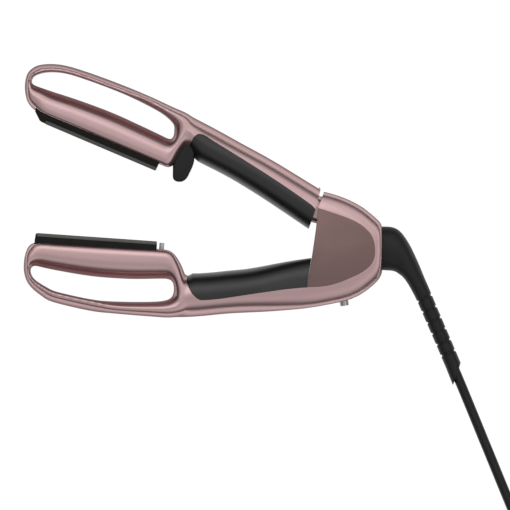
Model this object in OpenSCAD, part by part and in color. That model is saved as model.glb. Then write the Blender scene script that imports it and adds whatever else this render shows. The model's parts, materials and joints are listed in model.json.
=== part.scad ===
// Hair straightener with looped heads, lying on its side with its arms open.
// The origin is on the hinge axis, in the plane that the part rests on (z = 0). X runs along the
// lower plate towards the lead, Y from the lower arm to the upper one, Z along the hinge pin.
// The upper arm is drawn closed, with its plate on the lower plate, and then opened.

/* [Body] */
// Width of the heads and the housing, along the hinge pin
body_w = 36; // [35:0.5:42]
// Wall of the moulded shells
wall = 2.4; // [2:0.1:3]
// Angle between the plates with the arms open
open_angle = 19; // [12:0.5:22]
// How far the soft grips lie below the shell around them
grip_inset = 0.4; // [0.2:0.1:0.8]
// Wall of the grips
grip_wall = 2.5; // [1.8:0.1:3]

/* [Plates] */
// Length of each heated plate
plate_l = 86.5; // [80:0.5:94]
// Width of each heated plate
plate_w = 28; // [24:0.5:29]
// Thickness of each heated plate
plate_t = 2.5; // [2:0.1:3]
// Hinge axis to the near end of the lower plate
lower_reach = 145; // [142.5:0.5:148.5]
// Hinge axis to the near end of the upper plate
upper_reach = 151; // [148:0.5:155]
// Hinge axis to the plane where the plates meet
plate_drop = 21.1; // [20:0.1:22]
// Gap left between the closed plates
closed_gap = 0.2; // [0.1:0.05:0.6]
// Height of the lower plate above its rail
lower_stand = 5.4; // [4.4:0.1:6.4]
// Height of the upper plate above its rail
upper_stand = 5.6; // [4.6:0.1:6.5]
// Depth of the carrier, from the plate's face to its floor
carrier_d = 13; // [12:0.1:14]
// Wall and floor of the carrier
carrier_wall = 1.6; // [1.2:0.1:2]
// Ledge of the carrier under each edge of the plate
plate_ledge = 1.6; // [1:0.1:2.4]

/* [Heaters] */
// Plate's end to the ceramic heater, with room for the sensor and the fuse
heater_margin = 16; // [15:0.5:20]
// Width of the ceramic heater
heater_w = 16; // [12:0.5:18]
// Thickness of the ceramic heater
heater_t = 2.5; // [2:0.1:3]
// Thickness of the spring clip's sheet
clip_t = 0.6; // [0.4:0.1:1]
// Thread diameter of the carrier's screws
carrier_screw_d = 2.4; // [2:0.1:3]

/* [Hinge] */
// Diameter of the hinge pin
pin_d = 4; // [3:0.1:4.4]
// Gap between the pin and its bushes, on the radius
pin_play = 0.05; // [0.02:0.01:0.09]
// Wall of each bush
bush_wall = 1.2; // [1:0.1:1.6]
// Diameter of the knuckle round the pin
knuckle_d = 14; // [13:0.5:15]
// Height of the bearing seats inside the housing
seat_h = 0.6; // [0.4:0.1:1.2]
// Gap between the thrust washers and the tang
washer_play = 0.2; // [0.1:0.05:0.4]
// Wire diameter of the opening spring
spring_wire_d = 1.2; // [0.8:0.1:1.4]
// Width of the slot for the opening spring
spring_slot_w = 10; // [8:0.5:11]
// Thickness of the thrust washers
washer_t = 0.8; // [0.5:0.1:0.9]

/* [Covers and button] */
// Thickness of the side covers
cover_t = 2; // [1.5:0.1:2.4]
// Diameter of the power button
button_d = 6.5; // [5:0.1:7.5]
// How far the button stands out of the shell
button_proud = 3.3; // [2.6:0.1:4.2]
// Travel of the button
button_travel = 0.8; // [0.4:0.1:1.2]
// Gap round the button's stem
button_play = 0.3; // [0.2:0.05:0.5]
// Thickness of the circuit board
board_t = 1.6; // [1.2:0.1:2]

/* [Lead] */
// Diameter of the mains lead
lead_d = 7; // [6:0.1:7]
// Height of the strain relief's foot, in the plane of the arms
relief_h = 31.5; // [27:0.5:33]
// Width of the strain relief's foot, along the hinge
relief_w = 18; // [14:0.5:22]
// Diameter of the strain relief at its free end
relief_end_d = 11.4; // [10:0.1:12.6]
// Depth of the grooves in the strain relief
groove_d = 0.5; // [0.3:0.1:0.9]
// Distance from groove to groove
groove_pitch = 8.6; // [7:0.2:9.6]

/* [Hidden] */
$fn = 48;
mid = body_w / 2;
far = 400;

// Colours
rose = "#C19C9C";
mauve = "#7D5F5F";
soft_black = "#2B2B2D";
plate_black = "#222326";
steel = "#B9BBBE";

// Depth in Z of the rounded edges of the arms, and roundings in the XY plane
edge_z = 15;
grip_round = 14;
back_round = 11;
housing_top_round = 13;
housing_low_round = 15;
// Wall beside the housing's cavity, with the recess of the side cover outside it
cheek = cover_t + wall;
// Housing's rear face: its top, its low end, its angle, and the point that the lead leaves from
rear_top = [15.85, 0.9];
rear_low = [18.15, -32.2];
rear_turn = atan((rear_low.x - rear_top.x) / (rear_top.y - rear_low.y));
rear_mid = rear_top + (rear_low - rear_top) * 0.477;
// Where the button stands on the shell, and the slope of the shell there
button_at = [-7.8, -54.9];
button_turn = 13;

// Heights of the rails' faces, and the level that each plate's face lies in
lower_face = -(plate_drop + closed_gap / 2);
upper_face = -(plate_drop - closed_gap / 2);
lower_rail = lower_face - lower_stand;
upper_rail = upper_face + upper_stand;

// The handles' points are drawn for these reaches, and stretch with a reach beyond the mouth
mouth_reach = 37;
lower_drawn = 145;
upper_drawn = 151;
function stretch(x, ratio) = x > -mouth_reach ? x : -mouth_reach + (x + mouth_reach) * ratio;
function lower_x(x) = stretch(x, (lower_reach - mouth_reach) / (lower_drawn - mouth_reach));
function upper_x(x) = stretch(x, (upper_reach - mouth_reach) / (upper_drawn - mouth_reach));
function lower_set(p) = [for (q = p) [lower_x(q.x), q.y]];
function upper_set(p) = [for (q = p) [upper_x(q.x), q.y]];

// Curves. A curve goes smoothly through its points, with n steps from each to the next.
function blend4(a, b, c, d, t) =
    (2 * b + (c - a) * t + (2 * a - 5 * b + 4 * c - d) * t * t + (3 * b - a - 3 * c + d) * t * t * t) / 2;
function curve(p, n = 4, loop = false) =
    let (m = len(p))
    [for (i = [0 : m - (loop ? 1 : 2)], k = [0 : n - 1])
        let (a = loop ? p[(i + m - 1) % m] : p[max(i - 1, 0)],
             c = loop ? p[(i + 1) % m] : p[i + 1],
             d = loop ? p[(i + 2) % m] : p[min(i + 2, m - 1)])
        blend4(a, p[i], c, d, k / n),
     if (!loop) p[m - 1]];
function unit(v) = v / norm(v);

// Section of an arm, from point t to point b in the XY plane and half_w to each side in Z.
// Its corners are quarter ellipses: rt and rb long in XY, dt and db long in Z.
function section(t, b, half_w, rt, rb, dt, db, n = 4) =
    let (h = norm(b - t), u = (b - t) / h,
         sz = [for (c = [0 : 3], k = [0 : n])
             let (s = sin(90 * k / n), r = cos(90 * k / n))
             c == 0 ? [rt * (1 - r), half_w - dt * (1 - s)]
             : c == 1 ? [h - rb * (1 - s), half_w - db * (1 - r)]
             : c == 2 ? [h - rb * (1 - r), -half_w + db * (1 - s)]
             : [rt * (1 - s), -half_w + dt * (1 - r)]])
    [for (q = sz) [t.x + u.x * q.x, t.y + u.y * q.x, mid + q.y]];
// The same with both corners equally deep, and each limited by the section's own size
corner_share = 0.46;
side_flat = 0.3;
function barrel(t, b, half_w, t_round, b_round, depth) =
    let (most = norm(b - t) * corner_share, d = min(depth, half_w - side_flat))
    section(t, b, half_w, min(t_round, most), min(b_round, most), d, d);

// Ring of points round a path, a wide in the XY plane and b high
function ring_at(c, dir, a, b, sides) =
    let (s = unit(cross([0, 0, 1], dir)), u = cross(dir, s))
    [for (k = [0 : sides - 1]) c + a * cos(360 * k / sides) * s + b * sin(360 * k / sides) * u];
function tube_rings(p, r, sides) =
    [for (i = [0 : len(p) - 1])
        ring_at(p[i], unit(p[min(i + 1, len(p) - 1)] - p[max(i - 1, 0)]), r, r, sides)];

// Skin over rings of equal length; loop joins the last ring to the first
module skin(rings, loop = false, flip = false) {
    n = len(rings);
    m = len(rings[0]);
    sides = [for (i = [0 : n - (loop ? 1 : 2)], j = [0 : m - 1])
        let (i2 = (i + 1) % n, j2 = (j + 1) % m,
             a = i * m + j, b = i * m + j2, c = i2 * m + j2, d = i2 * m + j)
        each [[a, c, b], [a, d, c]]];
    caps = loop ? [] : [[for (j = [0 : m - 1]) j], [for (j = [m - 1 : -1 : 0]) (n - 1) * m + j]];
    faces = concat(sides, caps);
    polyhedron([for (r = rings) each r],
        flip ? [for (f = faces) [for (k = [len(f) - 1 : -1 : 0]) f[k]]] : faces, convexity = 10);
}
module tube(p, r, sides = 8) skin(tube_rings(p, r, sides));
module slab(p, z0, z1) translate([0, 0, z0]) linear_extrude(z1 - z0) polygon(p);
module box(lo, hi) translate(lo) cube(hi - lo);

// Contours of the arms, as points [x, y]. The heads' points are tied to the plates.

// Forms of a loop's section: shares of its height for the outer and the window's rounding, and the
// depths of the two
rail_form = [0.2, 0.48, 5, 15];
tip_form = [0.45, 0.4, 8, 11];
bar_form = [0.64, 0.28, 8, 6];
root_form = [0.5, 0.4, 11, 11];

// Lower head. a runs from the plate's near end (0) to the head's tip (1), dx on towards the tip, and
// d from the rail's face outwards. Each row is [a, dx outer, d outer, dx window, d window, form].
lower_rows = [
    [0, -2, 0, -4, 21.3, rail_form], [0.2, 0, 0.2, 0, 23, rail_form], [0.5, 0, 0.5, 0, 23, rail_form],
    [0.8, 0, 0.8, -1, 20.6, rail_form], [1, -3, 1.2, -6, 18.8, rail_form],
    [1, 2.4, 4, -2.4, 18.2, tip_form], [1, 4.7, 9.4, 0, 19.3, tip_form], [1, 5.6, 17, 0.8, 21.8, bar_form],
    [1, 4.6, 25, -0.2, 25, bar_form], [1, 0.4, 32.8, -3.8, 28.9, bar_form],
    [1, -9, 39.8, -12.5, 33.4, bar_form], [0.8, 0, 43.6, -1.7, 35.9, bar_form],
    [0.5, 0, 47.9, 0, 39.6, bar_form], [0.3, 0, 48.6, 0, 39.9, root_form],
    [0, 2, 48.9, 2, 38.4, root_form], [0, -16, 48.35, -9, 36.6, root_form],
    [0, -28, 43, -13.6, 33.7, root_form], [0, -28, 31.2, -14.5, 29.4, root_form],
    [0, -22.8, 19.5, -14.3, 26.2, root_form], [0, -17.6, 8.8, -12.9, 22.4, tip_form],
    [0, -10.9, 1.3, -9.4, 21.1, rail_form]
];
// Upper head, in the same terms
upper_rows = [
    [0, -2, 0, 3, 19.4, rail_form], [0.2, 0, 0, 0, 20.1, rail_form], [0.5, 0, 0, 0, 20.8, rail_form],
    [0.8, 0, 0, -1, 19.7, rail_form], [1, 1, 0, 0, 18.1, rail_form], [1, 9, 0.8, 9, 17.4, tip_form],
    [1, 15.6, 4.6, 15.6, 17.1, tip_form], [1, 20.6, 11.8, 18.4, 18.2, bar_form],
    [1, 23, 19.1, 19, 21.2, bar_form], [1, 22.8, 25.2, 17, 24.6, bar_form],
    [1, 17.4, 32.2, 10.5, 29.4, bar_form], [1, 3.5, 38.2, -1, 33.5, bar_form],
    [0.8, 2, 40.7, 1, 35.3, bar_form], [0.5, 3, 42, 2, 36.4, bar_form], [0.3, 0, 42.2, 1, 35.8, root_form],
    [0.1, 0, 41.6, 2, 34, root_form], [0, -10, 40.3, 1.3, 30.5, root_form],
    [0, -17, 29.8, -0.7, 27.2, root_form], [0, -13.6, 20, -2.2, 23, root_form],
    [0, -11.5, 11.2, -2.3, 20.7, root_form], [0, -10.5, 4, -1, 19.4, tip_form],
    [0, -7.2, 0.2, 0.8, 19.2, rail_form]
];
// Length of a head from the plate's near end, with room for the carrier's nose
head_l = plate_l + 2.5;
function head_x(row, k, reach) = -(reach + row[0] * head_l + row[k]);
function head_rings(rows, reach, rail, out, steps = 3) =
    let (o = curve([for (r = rows) [head_x(r, 1, reach), rail + out * r[2]]], steps, true),
         w = curve([for (r = rows) [head_x(r, 3, reach), rail + out * r[4]]], steps, true),
         f = curve([for (r = rows) r[5]], steps, true))
    [for (i = [0 : len(o) - 1])
        let (h = norm(w[i] - o[i])) section(o[i], w[i], mid, h * f[i][0], h * f[i][1], f[i][2], f[i][3])];

// Lower arm: inner side of the handle, seam between grip and back, and back with the housing
lower_inner = curve(lower_set([[-133, -48], [-127, -46.6], [-122.7, -45.6], [-120.5, -42.4], [-114, -41.7],
    [-104, -40.3], [-92.6, -38.3], [-81, -36.4], [-69.8, -33.8], [-58.5, -30.8], [-47, -27.9], [-35.7, -25.4],
    [-27, -23.6]]));
lower_seam = curve(lower_set([[-121.5, -49.6], [-117.6, -56.4], [-112.6, -60.6], [-108, -61], [-97, -59.3],
    [-85.5, -56.8], [-74, -54.2], [-62.8, -51.8], [-51.4, -49.4], [-40, -47.4], [-35, -46.8]]));
lower_back = curve(lower_set([[-140, -75.1], [-131, -75], [-119, -74], [-107.5, -72.4], [-96, -70.4],
    [-85, -68.8], [-62, -66.1], [-39, -62.6], [-27.5, -60.2], [-16, -57.2], [-5, -53.9], [1, -51]]));
// Mouth of the housing, from the seam to the top
mouth = [[-35, -47.6], [-33, -24.7], [-31.4, -3.6], [-31, 10.8], [-27.2, 24]];
housing_start = -36.4;
// Where each handle's root, its hollow and its grip begin, as drawn and as stretched
lower_root_drawn = -127;
lower_hollow_drawn = -117;
lower_grip_drawn = -121.9;
upper_root_drawn = -143;
upper_hollow_drawn = -131;
upper_grip_drawn = -135.2;
lower_root = lower_x(lower_root_drawn);
lower_hollow = lower_x(lower_hollow_drawn);
lower_grip_end = lower_x(lower_grip_drawn);
upper_root = upper_x(upper_root_drawn);
upper_hollow = upper_x(upper_hollow_drawn);
upper_grip_end = upper_x(upper_grip_drawn);
// Housing: each row has its top point, its low point and how far the sides draw in
housing_rows = [
    [[-36, 23.9], [-36, lookup(-36, lower_back)], 0],
    [[-27.6, 22.8], [-27.6, lookup(-27.6, lower_back)], 0],
    [[-21.7, 21.7], [-21.7, lookup(-21.7, lower_back)], 0],
    [[-15.9, 20.3], [-15.9, lookup(-15.9, lower_back)], 0],
    [[-9.9, 18.4], [-9.6, lookup(-9.6, lower_back)], 0],
    [[-4, 16], [-3.4, lookup(-3.4, lower_back)], 0],
    [[2, 12.9], [3, -49.8], 0], [[7, 9.4], [8.4, -45.6], 0], [[11, 6.4], [12.8, -41.4], 0],
    [[13.6, 4.3], [15.8, -37.9], 0], [[15, 2.6], [17.4, -35.1], 0.9], [rear_top, rear_low, 3]
];
// Upper arm, drawn closed: inner side, seam and back
upper_inner = curve(upper_set([[-148, 6.5], [-142, 5.6], [-135, 2], [-131, -1.2], [-127, -3], [-120.6, -3.7],
    [-107.7, -4.5], [-94.6, -5.9], [-81, -7.9], [-67.7, -10.2], [-54, -12.8], [-40.3, -15.5], [-29, -17.7]]));
upper_seam = curve(upper_set([[-135.4, 8], [-134.9, 12.4], [-132.6, 15.6], [-128, 16.2], [-121, 15],
    [-108.9, 13.2], [-95.4, 11.1], [-82, 8.9], [-68.3, 6.5], [-54.9, 3.9], [-41, 0.9], [-30, -1.8]]));
upper_back = curve(upper_set([[-155, 25.9], [-145.2, 25.4], [-138.8, 24.9], [-125.9, 23.9], [-112.8, 22.6],
    [-99.7, 21.2], [-86.8, 20], [-73.7, 18.5], [-60, 16.5], [-46.8, 14.5], [-36, 12.9], [-28, 11.6]]));
// Slanted end of the upper arm, at the housing's mouth
upper_end = [[-36.8, 16], [-34.3, -1.4], [-33, -20]];
// Tang of the upper arm: root, and top and low edges at the root and at the mouth
tang_root = -48;
tang_top = 8.6;
tang_low = -11;

// Roundings of the lower back, wider towards the housing
function lower_round(x) = lookup(x, [[-74, back_round], [-30, housing_low_round]]);

// Lower arm from x0 to its rear face, drawn in by g all round, and by side_g at the housing's sides
rear_blend = 26;
module lower_body_form(x0, g = 0, side_g = 0)
    skin([for (r = concat([for (x = handle_stations(x0, housing_start))
                               [[x, lookup(x, lower_inner)], [x, lookup(x, lower_back)], 0]], housing_rows))
        let (u = unit(r[1] - r[0]), back = g * max(0, 1 - (rear_top.x - r[0].x) / rear_blend),
             housing = r[0].x > housing_start)
        barrel(r[0] + u * g - [back, 0], r[1] - u * g - [back, 0], mid - r[2] - (housing ? max(g, side_g) : g),
            (housing ? housing_top_round : grip_round) - g, lower_round(r[0].x) - g, edge_z - g)]);
module lower_handle_form(x0, x1, g = 0)
    skin([for (x = handle_stations(x0, x1))
        barrel([x, lookup(x, lower_inner) - g], [x, lookup(x, lower_back) + g], mid - g,
            grip_round - g, lower_round(x) - g, edge_z - g)]);
module upper_handle_form(x0, x1, g = 0)
    skin([for (x = handle_stations(x0, x1))
        barrel([x, lookup(x, upper_inner) + g], [x, lookup(x, upper_back) - g], mid - g,
            grip_round - g, back_round - g, edge_z - g)], flip = true);
handle_steps = 13;
function handle_stations(x0, x1) = [for (i = [0 : handle_steps]) x0 + (x1 - x0) * i / handle_steps];

// Frames: a head's plate, the housing's rear face, the button, and the opened upper arm
module on_lower_head() translate([-lower_reach, lower_face, mid]) rotate([0, 0, 180]) children();
module on_upper_head() translate([-upper_reach, upper_face, mid]) mirror([1, 0, 0]) children();
module on_rear() translate([rear_mid.x, rear_mid.y, mid]) rotate([0, 0, rear_turn]) children();
module on_button() translate([button_at.x, button_at.y, mid]) rotate([0, 0, button_turn]) children();
module opened() rotate([0, 0, -open_angle]) children();
module rod(x0, x1, r) translate([x0, 0, 0]) rotate([0, 90, 0]) cylinder(r = r, h = x1 - x0);
module post(y0, y1, r) translate([0, y0, 0]) rotate([-90, 0, 0]) cylinder(r = r, h = y1 - y0);
module pin_rod(z0, z1, r) translate([0, 0, z0]) cylinder(r = r, h = z1 - z0);
// Wires in the middle plane, and the passage for their first part
module wire_run(p, r) tube([for (q = p) [q.x, q.y, mid]], r);
function first(p, n) = [for (i = [0 : n - 1]) p[i]];

// Heads: pockets of the rail, and the parts in them, in the plate's frame
carrier_half = plate_w / 2 + carrier_wall;
tray_half = plate_w / 2 - plate_ledge;
tray_end = 3;
pocket_play = 0.3;
core_d = 5;
heater_l = plate_l - 2 * heater_margin;
core_end = heater_margin;
screw_x = 9;
wire_r = 1.5;
// Nose of each carrier beyond the plate's far end: the length of its edge, and its slant from
// there to the rail. All noses have a gap to the plate, and lie a little below the plate's face.
lower_nose = [0.6, 0.5];
upper_nose = [3.6, 6.2];
nose_gap = 0.1;
nose_drop = 0.3;
module rail_pocket(nose) {
    box([-pocket_play, -4, -carrier_half - pocket_play],
        [plate_l + nose_gap + nose[0] + nose[1] + pocket_play, carrier_d, carrier_half + pocket_play]);
    box([core_end, carrier_d - 1, -heater_w / 2], [plate_l - core_end, carrier_d + core_d, heater_w / 2]);
    for (x = [screw_x, plate_l - screw_x])
        translate([x, 0, 0]) post(carrier_d - 1, carrier_d + 4, carrier_screw_d / 2);
}
module plate_carrier(stand, nose) difference() {
    x0 = plate_l + nose_gap;
    x1 = x0 + nose[0];
    x2 = x1 + nose[1];
    translate([0, 0, -carrier_half]) linear_extrude(2 * carrier_half)
        polygon([[0, plate_t], [x0, plate_t], [x0, nose_drop], [x1, nose_drop], [x2, stand], [x2, carrier_d],
            [0, carrier_d]]);
    box([tray_end, plate_t - 1, -tray_half], [plate_l - tray_end, carrier_d - carrier_wall, tray_half]);
    for (x = [screw_x, plate_l - screw_x])
        translate([x, 0, 0]) post(carrier_d - carrier_wall - 1, carrier_d + 1, carrier_screw_d / 2 + 0.2);
    translate([0, carrier_d - carrier_wall - wire_r - 0.8, 0]) rod(-1, tray_end + 1, wire_r + 0.2);
}
module hot_plate() {
    bevel = 0.8;
    half = plate_w / 2;
    rotate([90, 0, 90]) linear_extrude(plate_l)
        polygon([[0, -half + bevel], [bevel, -half], [plate_t, -half], [plate_t, half], [bevel, half],
            [0, half - bevel]]);
}
module heater_block() box([(plate_l - heater_l) / 2, plate_t, -heater_w / 2],
    [(plate_l + heater_l) / 2, plate_t + heater_t, heater_w / 2]);
module heater_clip() {
    y0 = plate_t + heater_t;
    y1 = carrier_d - carrier_wall;
    half = heater_w / 2 + clip_t + 0.4;
    box([(plate_l - heater_l) / 2 + 2, y0, -half], [(plate_l + heater_l) / 2 - 2, y0 + clip_t, half]);
    for (x = [(plate_l - heater_l) / 2 + 8, (plate_l + heater_l) / 2 - 16], z = [-half, half - clip_t])
        box([x, y0, z], [x + 8, y1, z + clip_t]);
}
module thermistor() box([plate_l - tray_end - 9, plate_t, 4], [plate_l - tray_end - 4, plate_t + 1.8, 7]);
module thermal_fuse() translate([tray_end + 3, plate_t + 1.6, -6]) rod(0, 8.5, 1.6);
module carrier_screws() for (x = [screw_x, plate_l - screw_x]) translate([x, 0, 0]) {
    post(carrier_d - carrier_wall - 1.5, carrier_d - carrier_wall, carrier_screw_d / 2 + 1.2);
    post(carrier_d - carrier_wall, carrier_d + 3.8, carrier_screw_d / 2);
}

// Lower arm
lower_zone = concat([[lower_seam[0].x, far]], lower_seam, [for (i = [1 : len(mouth) - 1]) mouth[i]],
    [[-27.2, far]]);
// Way of the wires from the rail's pocket through the strut and the handle to the board
lower_way = curve(concat([[-(lower_reach - 1), lower_face - carrier_d + carrier_wall + wire_r + 0.8]],
    lower_set([[-134.2, -40.4], [-127.4, -50.4], [-117, -60.5], [-100, -63.5], [-75, -60.5], [-52, -56.5],
        [-35, -51]])), 2);
cover_edge = curve([[-30.7, 10.6], [-26.2, 9.6], [-19.4, 7.8], [-12.9, 6.1], [-6.5, 4.1], [-0.6, 1.5],
    [4.2, -1.7], [8, -5.5], [10.6, -10.7], [11.8, -16.3], [11.6, -22.4], [9, -28.1], [2.9, -33.6],
    [-4.5, -37.8],
    [-12, -41.5], [-18.9, -44], [-26.1, -45.6], [-34.9, -46.6]], 3);
cover_front = [[-34.9, -46.6], mouth[1], mouth[2], mouth[3]];
cover_points = concat(cover_front, cover_edge);
recess_points = concat([for (p = cover_front) p - [2, 0]], cover_edge);
cover_pegs = [[-24, -30], [-2, -24]];
peg_r = 1.4;
module lower_arm_shell() color(rose) difference() {
    union() {
        difference() {
            union() {
                skin(head_rings(lower_rows, lower_reach, lower_rail, -1), loop = true, flip = true);
                lower_body_form(lower_root);
            }
            slab(lower_zone, -1, body_w + 1);
            lower_body_form(lower_hollow, wall, cheek);
            // Room for the knuckle
            pin_rod(cheek + 0.1, body_w - cheek - 0.1, knuckle_d / 2 + 0.5);
        }
        // Bearing seats for the pin, and the block under the lead clamp
        for (z = [cheek - 0.5, body_w - cheek - seat_h]) pin_rod(z, z + seat_h + 0.5, seat_r);
        on_rear() box([clamp_x0, -clamp_half, cheek - mid - 0.5], [clamp_x1, clamp_half, -lead_d / 2]);
    }
    on_lower_head() rail_pocket(lower_nose);
    bumper();
    wire_run(first(lower_way, lower_passage), wire_r + 0.3);
    for (z = [-1, body_w - cover_t]) slab(recess_points, z, z + cover_t + 1);
    pin_rod(cover_t - 1, body_w - cover_t + 1, pin_d / 2);
    for (p = cover_pegs) translate([p.x, p.y, 0]) pin_rod(0, body_w, peg_r);
    on_button() post(-6, 6, button_d / 2 + button_play);
    on_rear() rod(-12, 4, neck_r);
    for (y = [-1, 1]) on_rear() translate([clamp_mid, y * clamp_screw_y, -10]) cylinder(r = 1.2, h = 10);
}
module lower_grip() color(soft_black) difference() {
    intersection() {
        lower_handle_form(lower_grip_end, -31, grip_inset);
        slab(concat([[lower_seam[0].x, far]], lower_seam,
            [[-35.2, -46.8], [-33.3, -24.7], [-31.6, 0], [-31.6, far]]), -1, body_w + 1);
    }
    lower_handle_form(lower_hollow, -20, grip_inset + grip_wall);
}
module lower_plate_carrier() color(soft_black) on_lower_head() plate_carrier(lower_stand, lower_nose);
module lower_plate() color(plate_black) on_lower_head() hot_plate();
module lower_heater() color("ivory") on_lower_head() heater_block();
module lower_heater_clip() color(steel) on_lower_head() heater_clip();
module lower_thermistor() color("sienna") on_lower_head() thermistor();
module lower_thermal_fuse() color("silver") on_lower_head() thermal_fuse();
module lower_carrier_screws() color(steel) on_lower_head() carrier_screws();
// Soft stop in a seat of the rail, beside the plate's near end
bumper_r = 1.8;
bumper_seat = 1;
module bumper() translate([-(lower_reach - 2 * bumper_r), lower_rail - bumper_seat, mid])
    post(0, lower_stand + 0.2, bumper_r);
module plate_bumper() color("gainsboro") bumper();
module lower_wires() color("firebrick") wire_run(lower_way, wire_r - 0.1);

// Side covers: inlaid plates over the pin's ends
module side_cover(flat) translate([0, 0, flat]) {
    linear_extrude(cover_t) polygon(cover_points);
    for (p = cover_pegs)
        translate([p.x, p.y, flat > 0 ? -wall + 0.2 : cover_t]) cylinder(r = peg_r, h = wall - 0.2);
}
module left_side_cover() color(mauve) side_cover(body_w - cover_t);
module right_side_cover() color(mauve) side_cover(0);

// Hinge
seat_r = 5;
tang_w = body_w - 2 * (cheek + seat_h + washer_t + washer_play);
tang_z0 = (body_w - tang_w) / 2;
spring_z0 = (body_w - spring_slot_w) / 2;
bush_r = pin_d / 2 + pin_play + bush_wall;
spring_r = bush_r + 0.9 + spring_wire_d / 2;
module hinge_pin() color(steel) pin_rod(cover_t, body_w - cover_t, pin_d / 2);
module thrust_washers() color(steel)
    for (z = [cheek + seat_h, body_w - cheek - seat_h - washer_t]) difference() {
        pin_rod(z, z + washer_t, seat_r);
        pin_rod(z - 1, z + washer_t + 1, pin_d / 2 + 0.1);
    }
// Torsion spring round the pin; its legs point at the tang and at the housing's top
spring_turns = 5;
spring_points = [for (k = [-1 : spring_turns * 12 + 1])
    let (a = 180 + 30 * k, t = k / (spring_turns * 12), r = spring_r,
         z = mid - (spring_slot_w / 2 - spring_wire_d - 0.4) * (1 - 2 * t))
    k < 0 ? [-spring_r * 0.9 - 4, spring_r * 0.2 + 2, z]
    : k > spring_turns * 12 ? [-3, -spring_r - 5, z]
    : [r * cos(a), r * sin(a), z]];
module opening_spring() color(steel) tube(spring_points, spring_wire_d / 2, 6);
module hinge_bushes() color("ivory") for (z = [tang_z0, mid + spring_slot_w / 2]) difference() {
    pin_rod(z, z + (tang_w - spring_slot_w) / 2, bush_r);
    pin_rod(z - 1, z + tang_w, pin_d / 2 + pin_play);
}

// Electronics, in the button's frame: y runs into the housing
board_y = 10.2;
flange_y = wall + 1.1;
stem_end = flange_y + 1.7;
module circuit_board() color("darkgreen") on_button() box([-20, board_y, -11], [12, board_y + board_t, 11]);
module board_parts() color("dimgray") on_button() translate([0, board_y + board_t, 0]) {
    box([-18, 0, -9], [-8, 7, 2]);
    box([-5, 0, -9], [-1, 5, -1]);
    box([2, 0, 2], [9, 3, 9]);
    for (x = [-5, -1]) translate([x, 0, 6]) post(0, 6, 1.8);
}
module power_switch() color("black") on_button() {
    box([-3, stem_end + button_travel + 0.9, -3], [3, board_y, 3]);
    post(stem_end + button_travel + 0.1, stem_end + button_travel + 1, 1.7);
}
module power_button() color(steel) on_button() {
    post(-button_proud, stem_end, button_d / 2);
    post(flange_y, flange_y + 1, button_d / 2 + 1.2);
}

// Lead inside the housing, in the rear face's frame: x runs out of the housing
neck_r = 6;
neck_in = 2;
clamp_x0 = -14;
clamp_x1 = -8;
clamp_mid = (clamp_x0 + clamp_x1) / 2;
clamp_half = 8.4;
clamp_screw_y = 6;
clamp_t = 3;
module lead_stub() color(soft_black) on_rear() rod(clamp_x0 - 1.5, -wall - neck_in, lead_d / 2);
module lead_clamp() color(soft_black) on_rear() difference() {
    box([clamp_x0, -clamp_half, lead_d / 2], [clamp_x1, clamp_half, lead_d / 2 + clamp_t]);
    for (y = [-1, 1]) translate([clamp_mid, y * clamp_screw_y, 0]) cylinder(r = 1.4, h = 12);
}
module lead_clamp_screws() color(steel) on_rear()
    for (y = [-1, 1]) translate([clamp_mid, y * clamp_screw_y, 0]) {
        translate([0, 0, -8]) cylinder(r = 1.2, h = 8 + lead_d / 2 + clamp_t);
        translate([0, 0, lead_d / 2 + clamp_t]) cylinder(r = 2.2, h = 1.6);
    }
module mains_wires() color("sienna") for (s = [-1, 1])
    tube(curve([[0.4, -13.6 + s, mid + s], [-2, -14.5 + s * 1.2, mid + 1.5 * s], [-8, -22, mid + 5 * s],
        [-12, -31, mid + 6 * s], [-13.5, -36.5, mid + 6 * s]], 2), 0.9, 6);

// Upper arm, drawn closed and then opened
upper_zone = concat([[upper_seam[0].x, -far]], [for (p = upper_seam) if (p.x < upper_end[1].x - 1) p],
    [upper_end[1], upper_end[2], [upper_end[2].x, -far]]);
upper_way = curve(concat([[-(upper_reach - 1), upper_face + carrier_d - carrier_wall - wire_r - 0.8]],
    upper_set([[-142.7, -3.5], [-141.4, 4], [-139, 11], [-134, 17.8], [-127, 18.6], [-117, 12], [-105, 6],
        [-80, 2.6], [-60, 0], [-46, -1], [-14, -1]])), 2);
upper_passage = 11;
lower_passage = 8;
module tang() {
    skin([for (x = [tang_root, -40, -33, -24, -14, -5])
        barrel([x, lookup(x, [[-33, tang_low], [-5, -knuckle_d / 2]])],
            [x, lookup(x, [[-33, tang_top], [-5, knuckle_d / 2]])], tang_w / 2, 6, 8, 8)], flip = true);
    pin_rod(tang_z0, tang_z0 + tang_w, knuckle_d / 2);
}
module upper_arm_shell() color(rose) opened() difference() {
    union() {
        difference() {
            union() {
                skin(head_rings(upper_rows, upper_reach, upper_rail, 1), loop = true);
                upper_handle_form(upper_root, -31);
            }
            slab(upper_zone, -1, body_w + 1);
            slab([upper_end[0], upper_end[1], upper_end[2], [50, -20], [50, 60], [-36.8, 60]], -1, body_w + 1);
            upper_handle_form(upper_hollow, tang_root + 2, wall);
        }
        tang();
        // Small lip at the end of the back
        intersection() {
            upper_handle_form(-38.4, -35.4, -0.9);
            box([-38, 11, mid - 7], [-36.8, 20, mid + 7]);
        }
    }
    on_upper_head() rail_pocket(upper_nose);
    wire_run(first(upper_way, upper_passage), wire_r + 0.3);
    pin_rod(-1, body_w + 1, bush_r);
    pin_rod(spring_z0, spring_z0 + spring_slot_w, knuckle_d / 2 + 2.5);
    translate([0, -1, mid]) rod(tang_root - 3, -12, wire_r + 0.5);
}
module upper_grip() color(soft_black) opened() difference() {
    intersection() {
        upper_handle_form(upper_grip_end, -31, grip_inset);
        slab(upper_zone, -1, body_w + 1);
    }
    upper_handle_form(upper_hollow + 0.5, -20, grip_inset + grip_wall);
}
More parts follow.
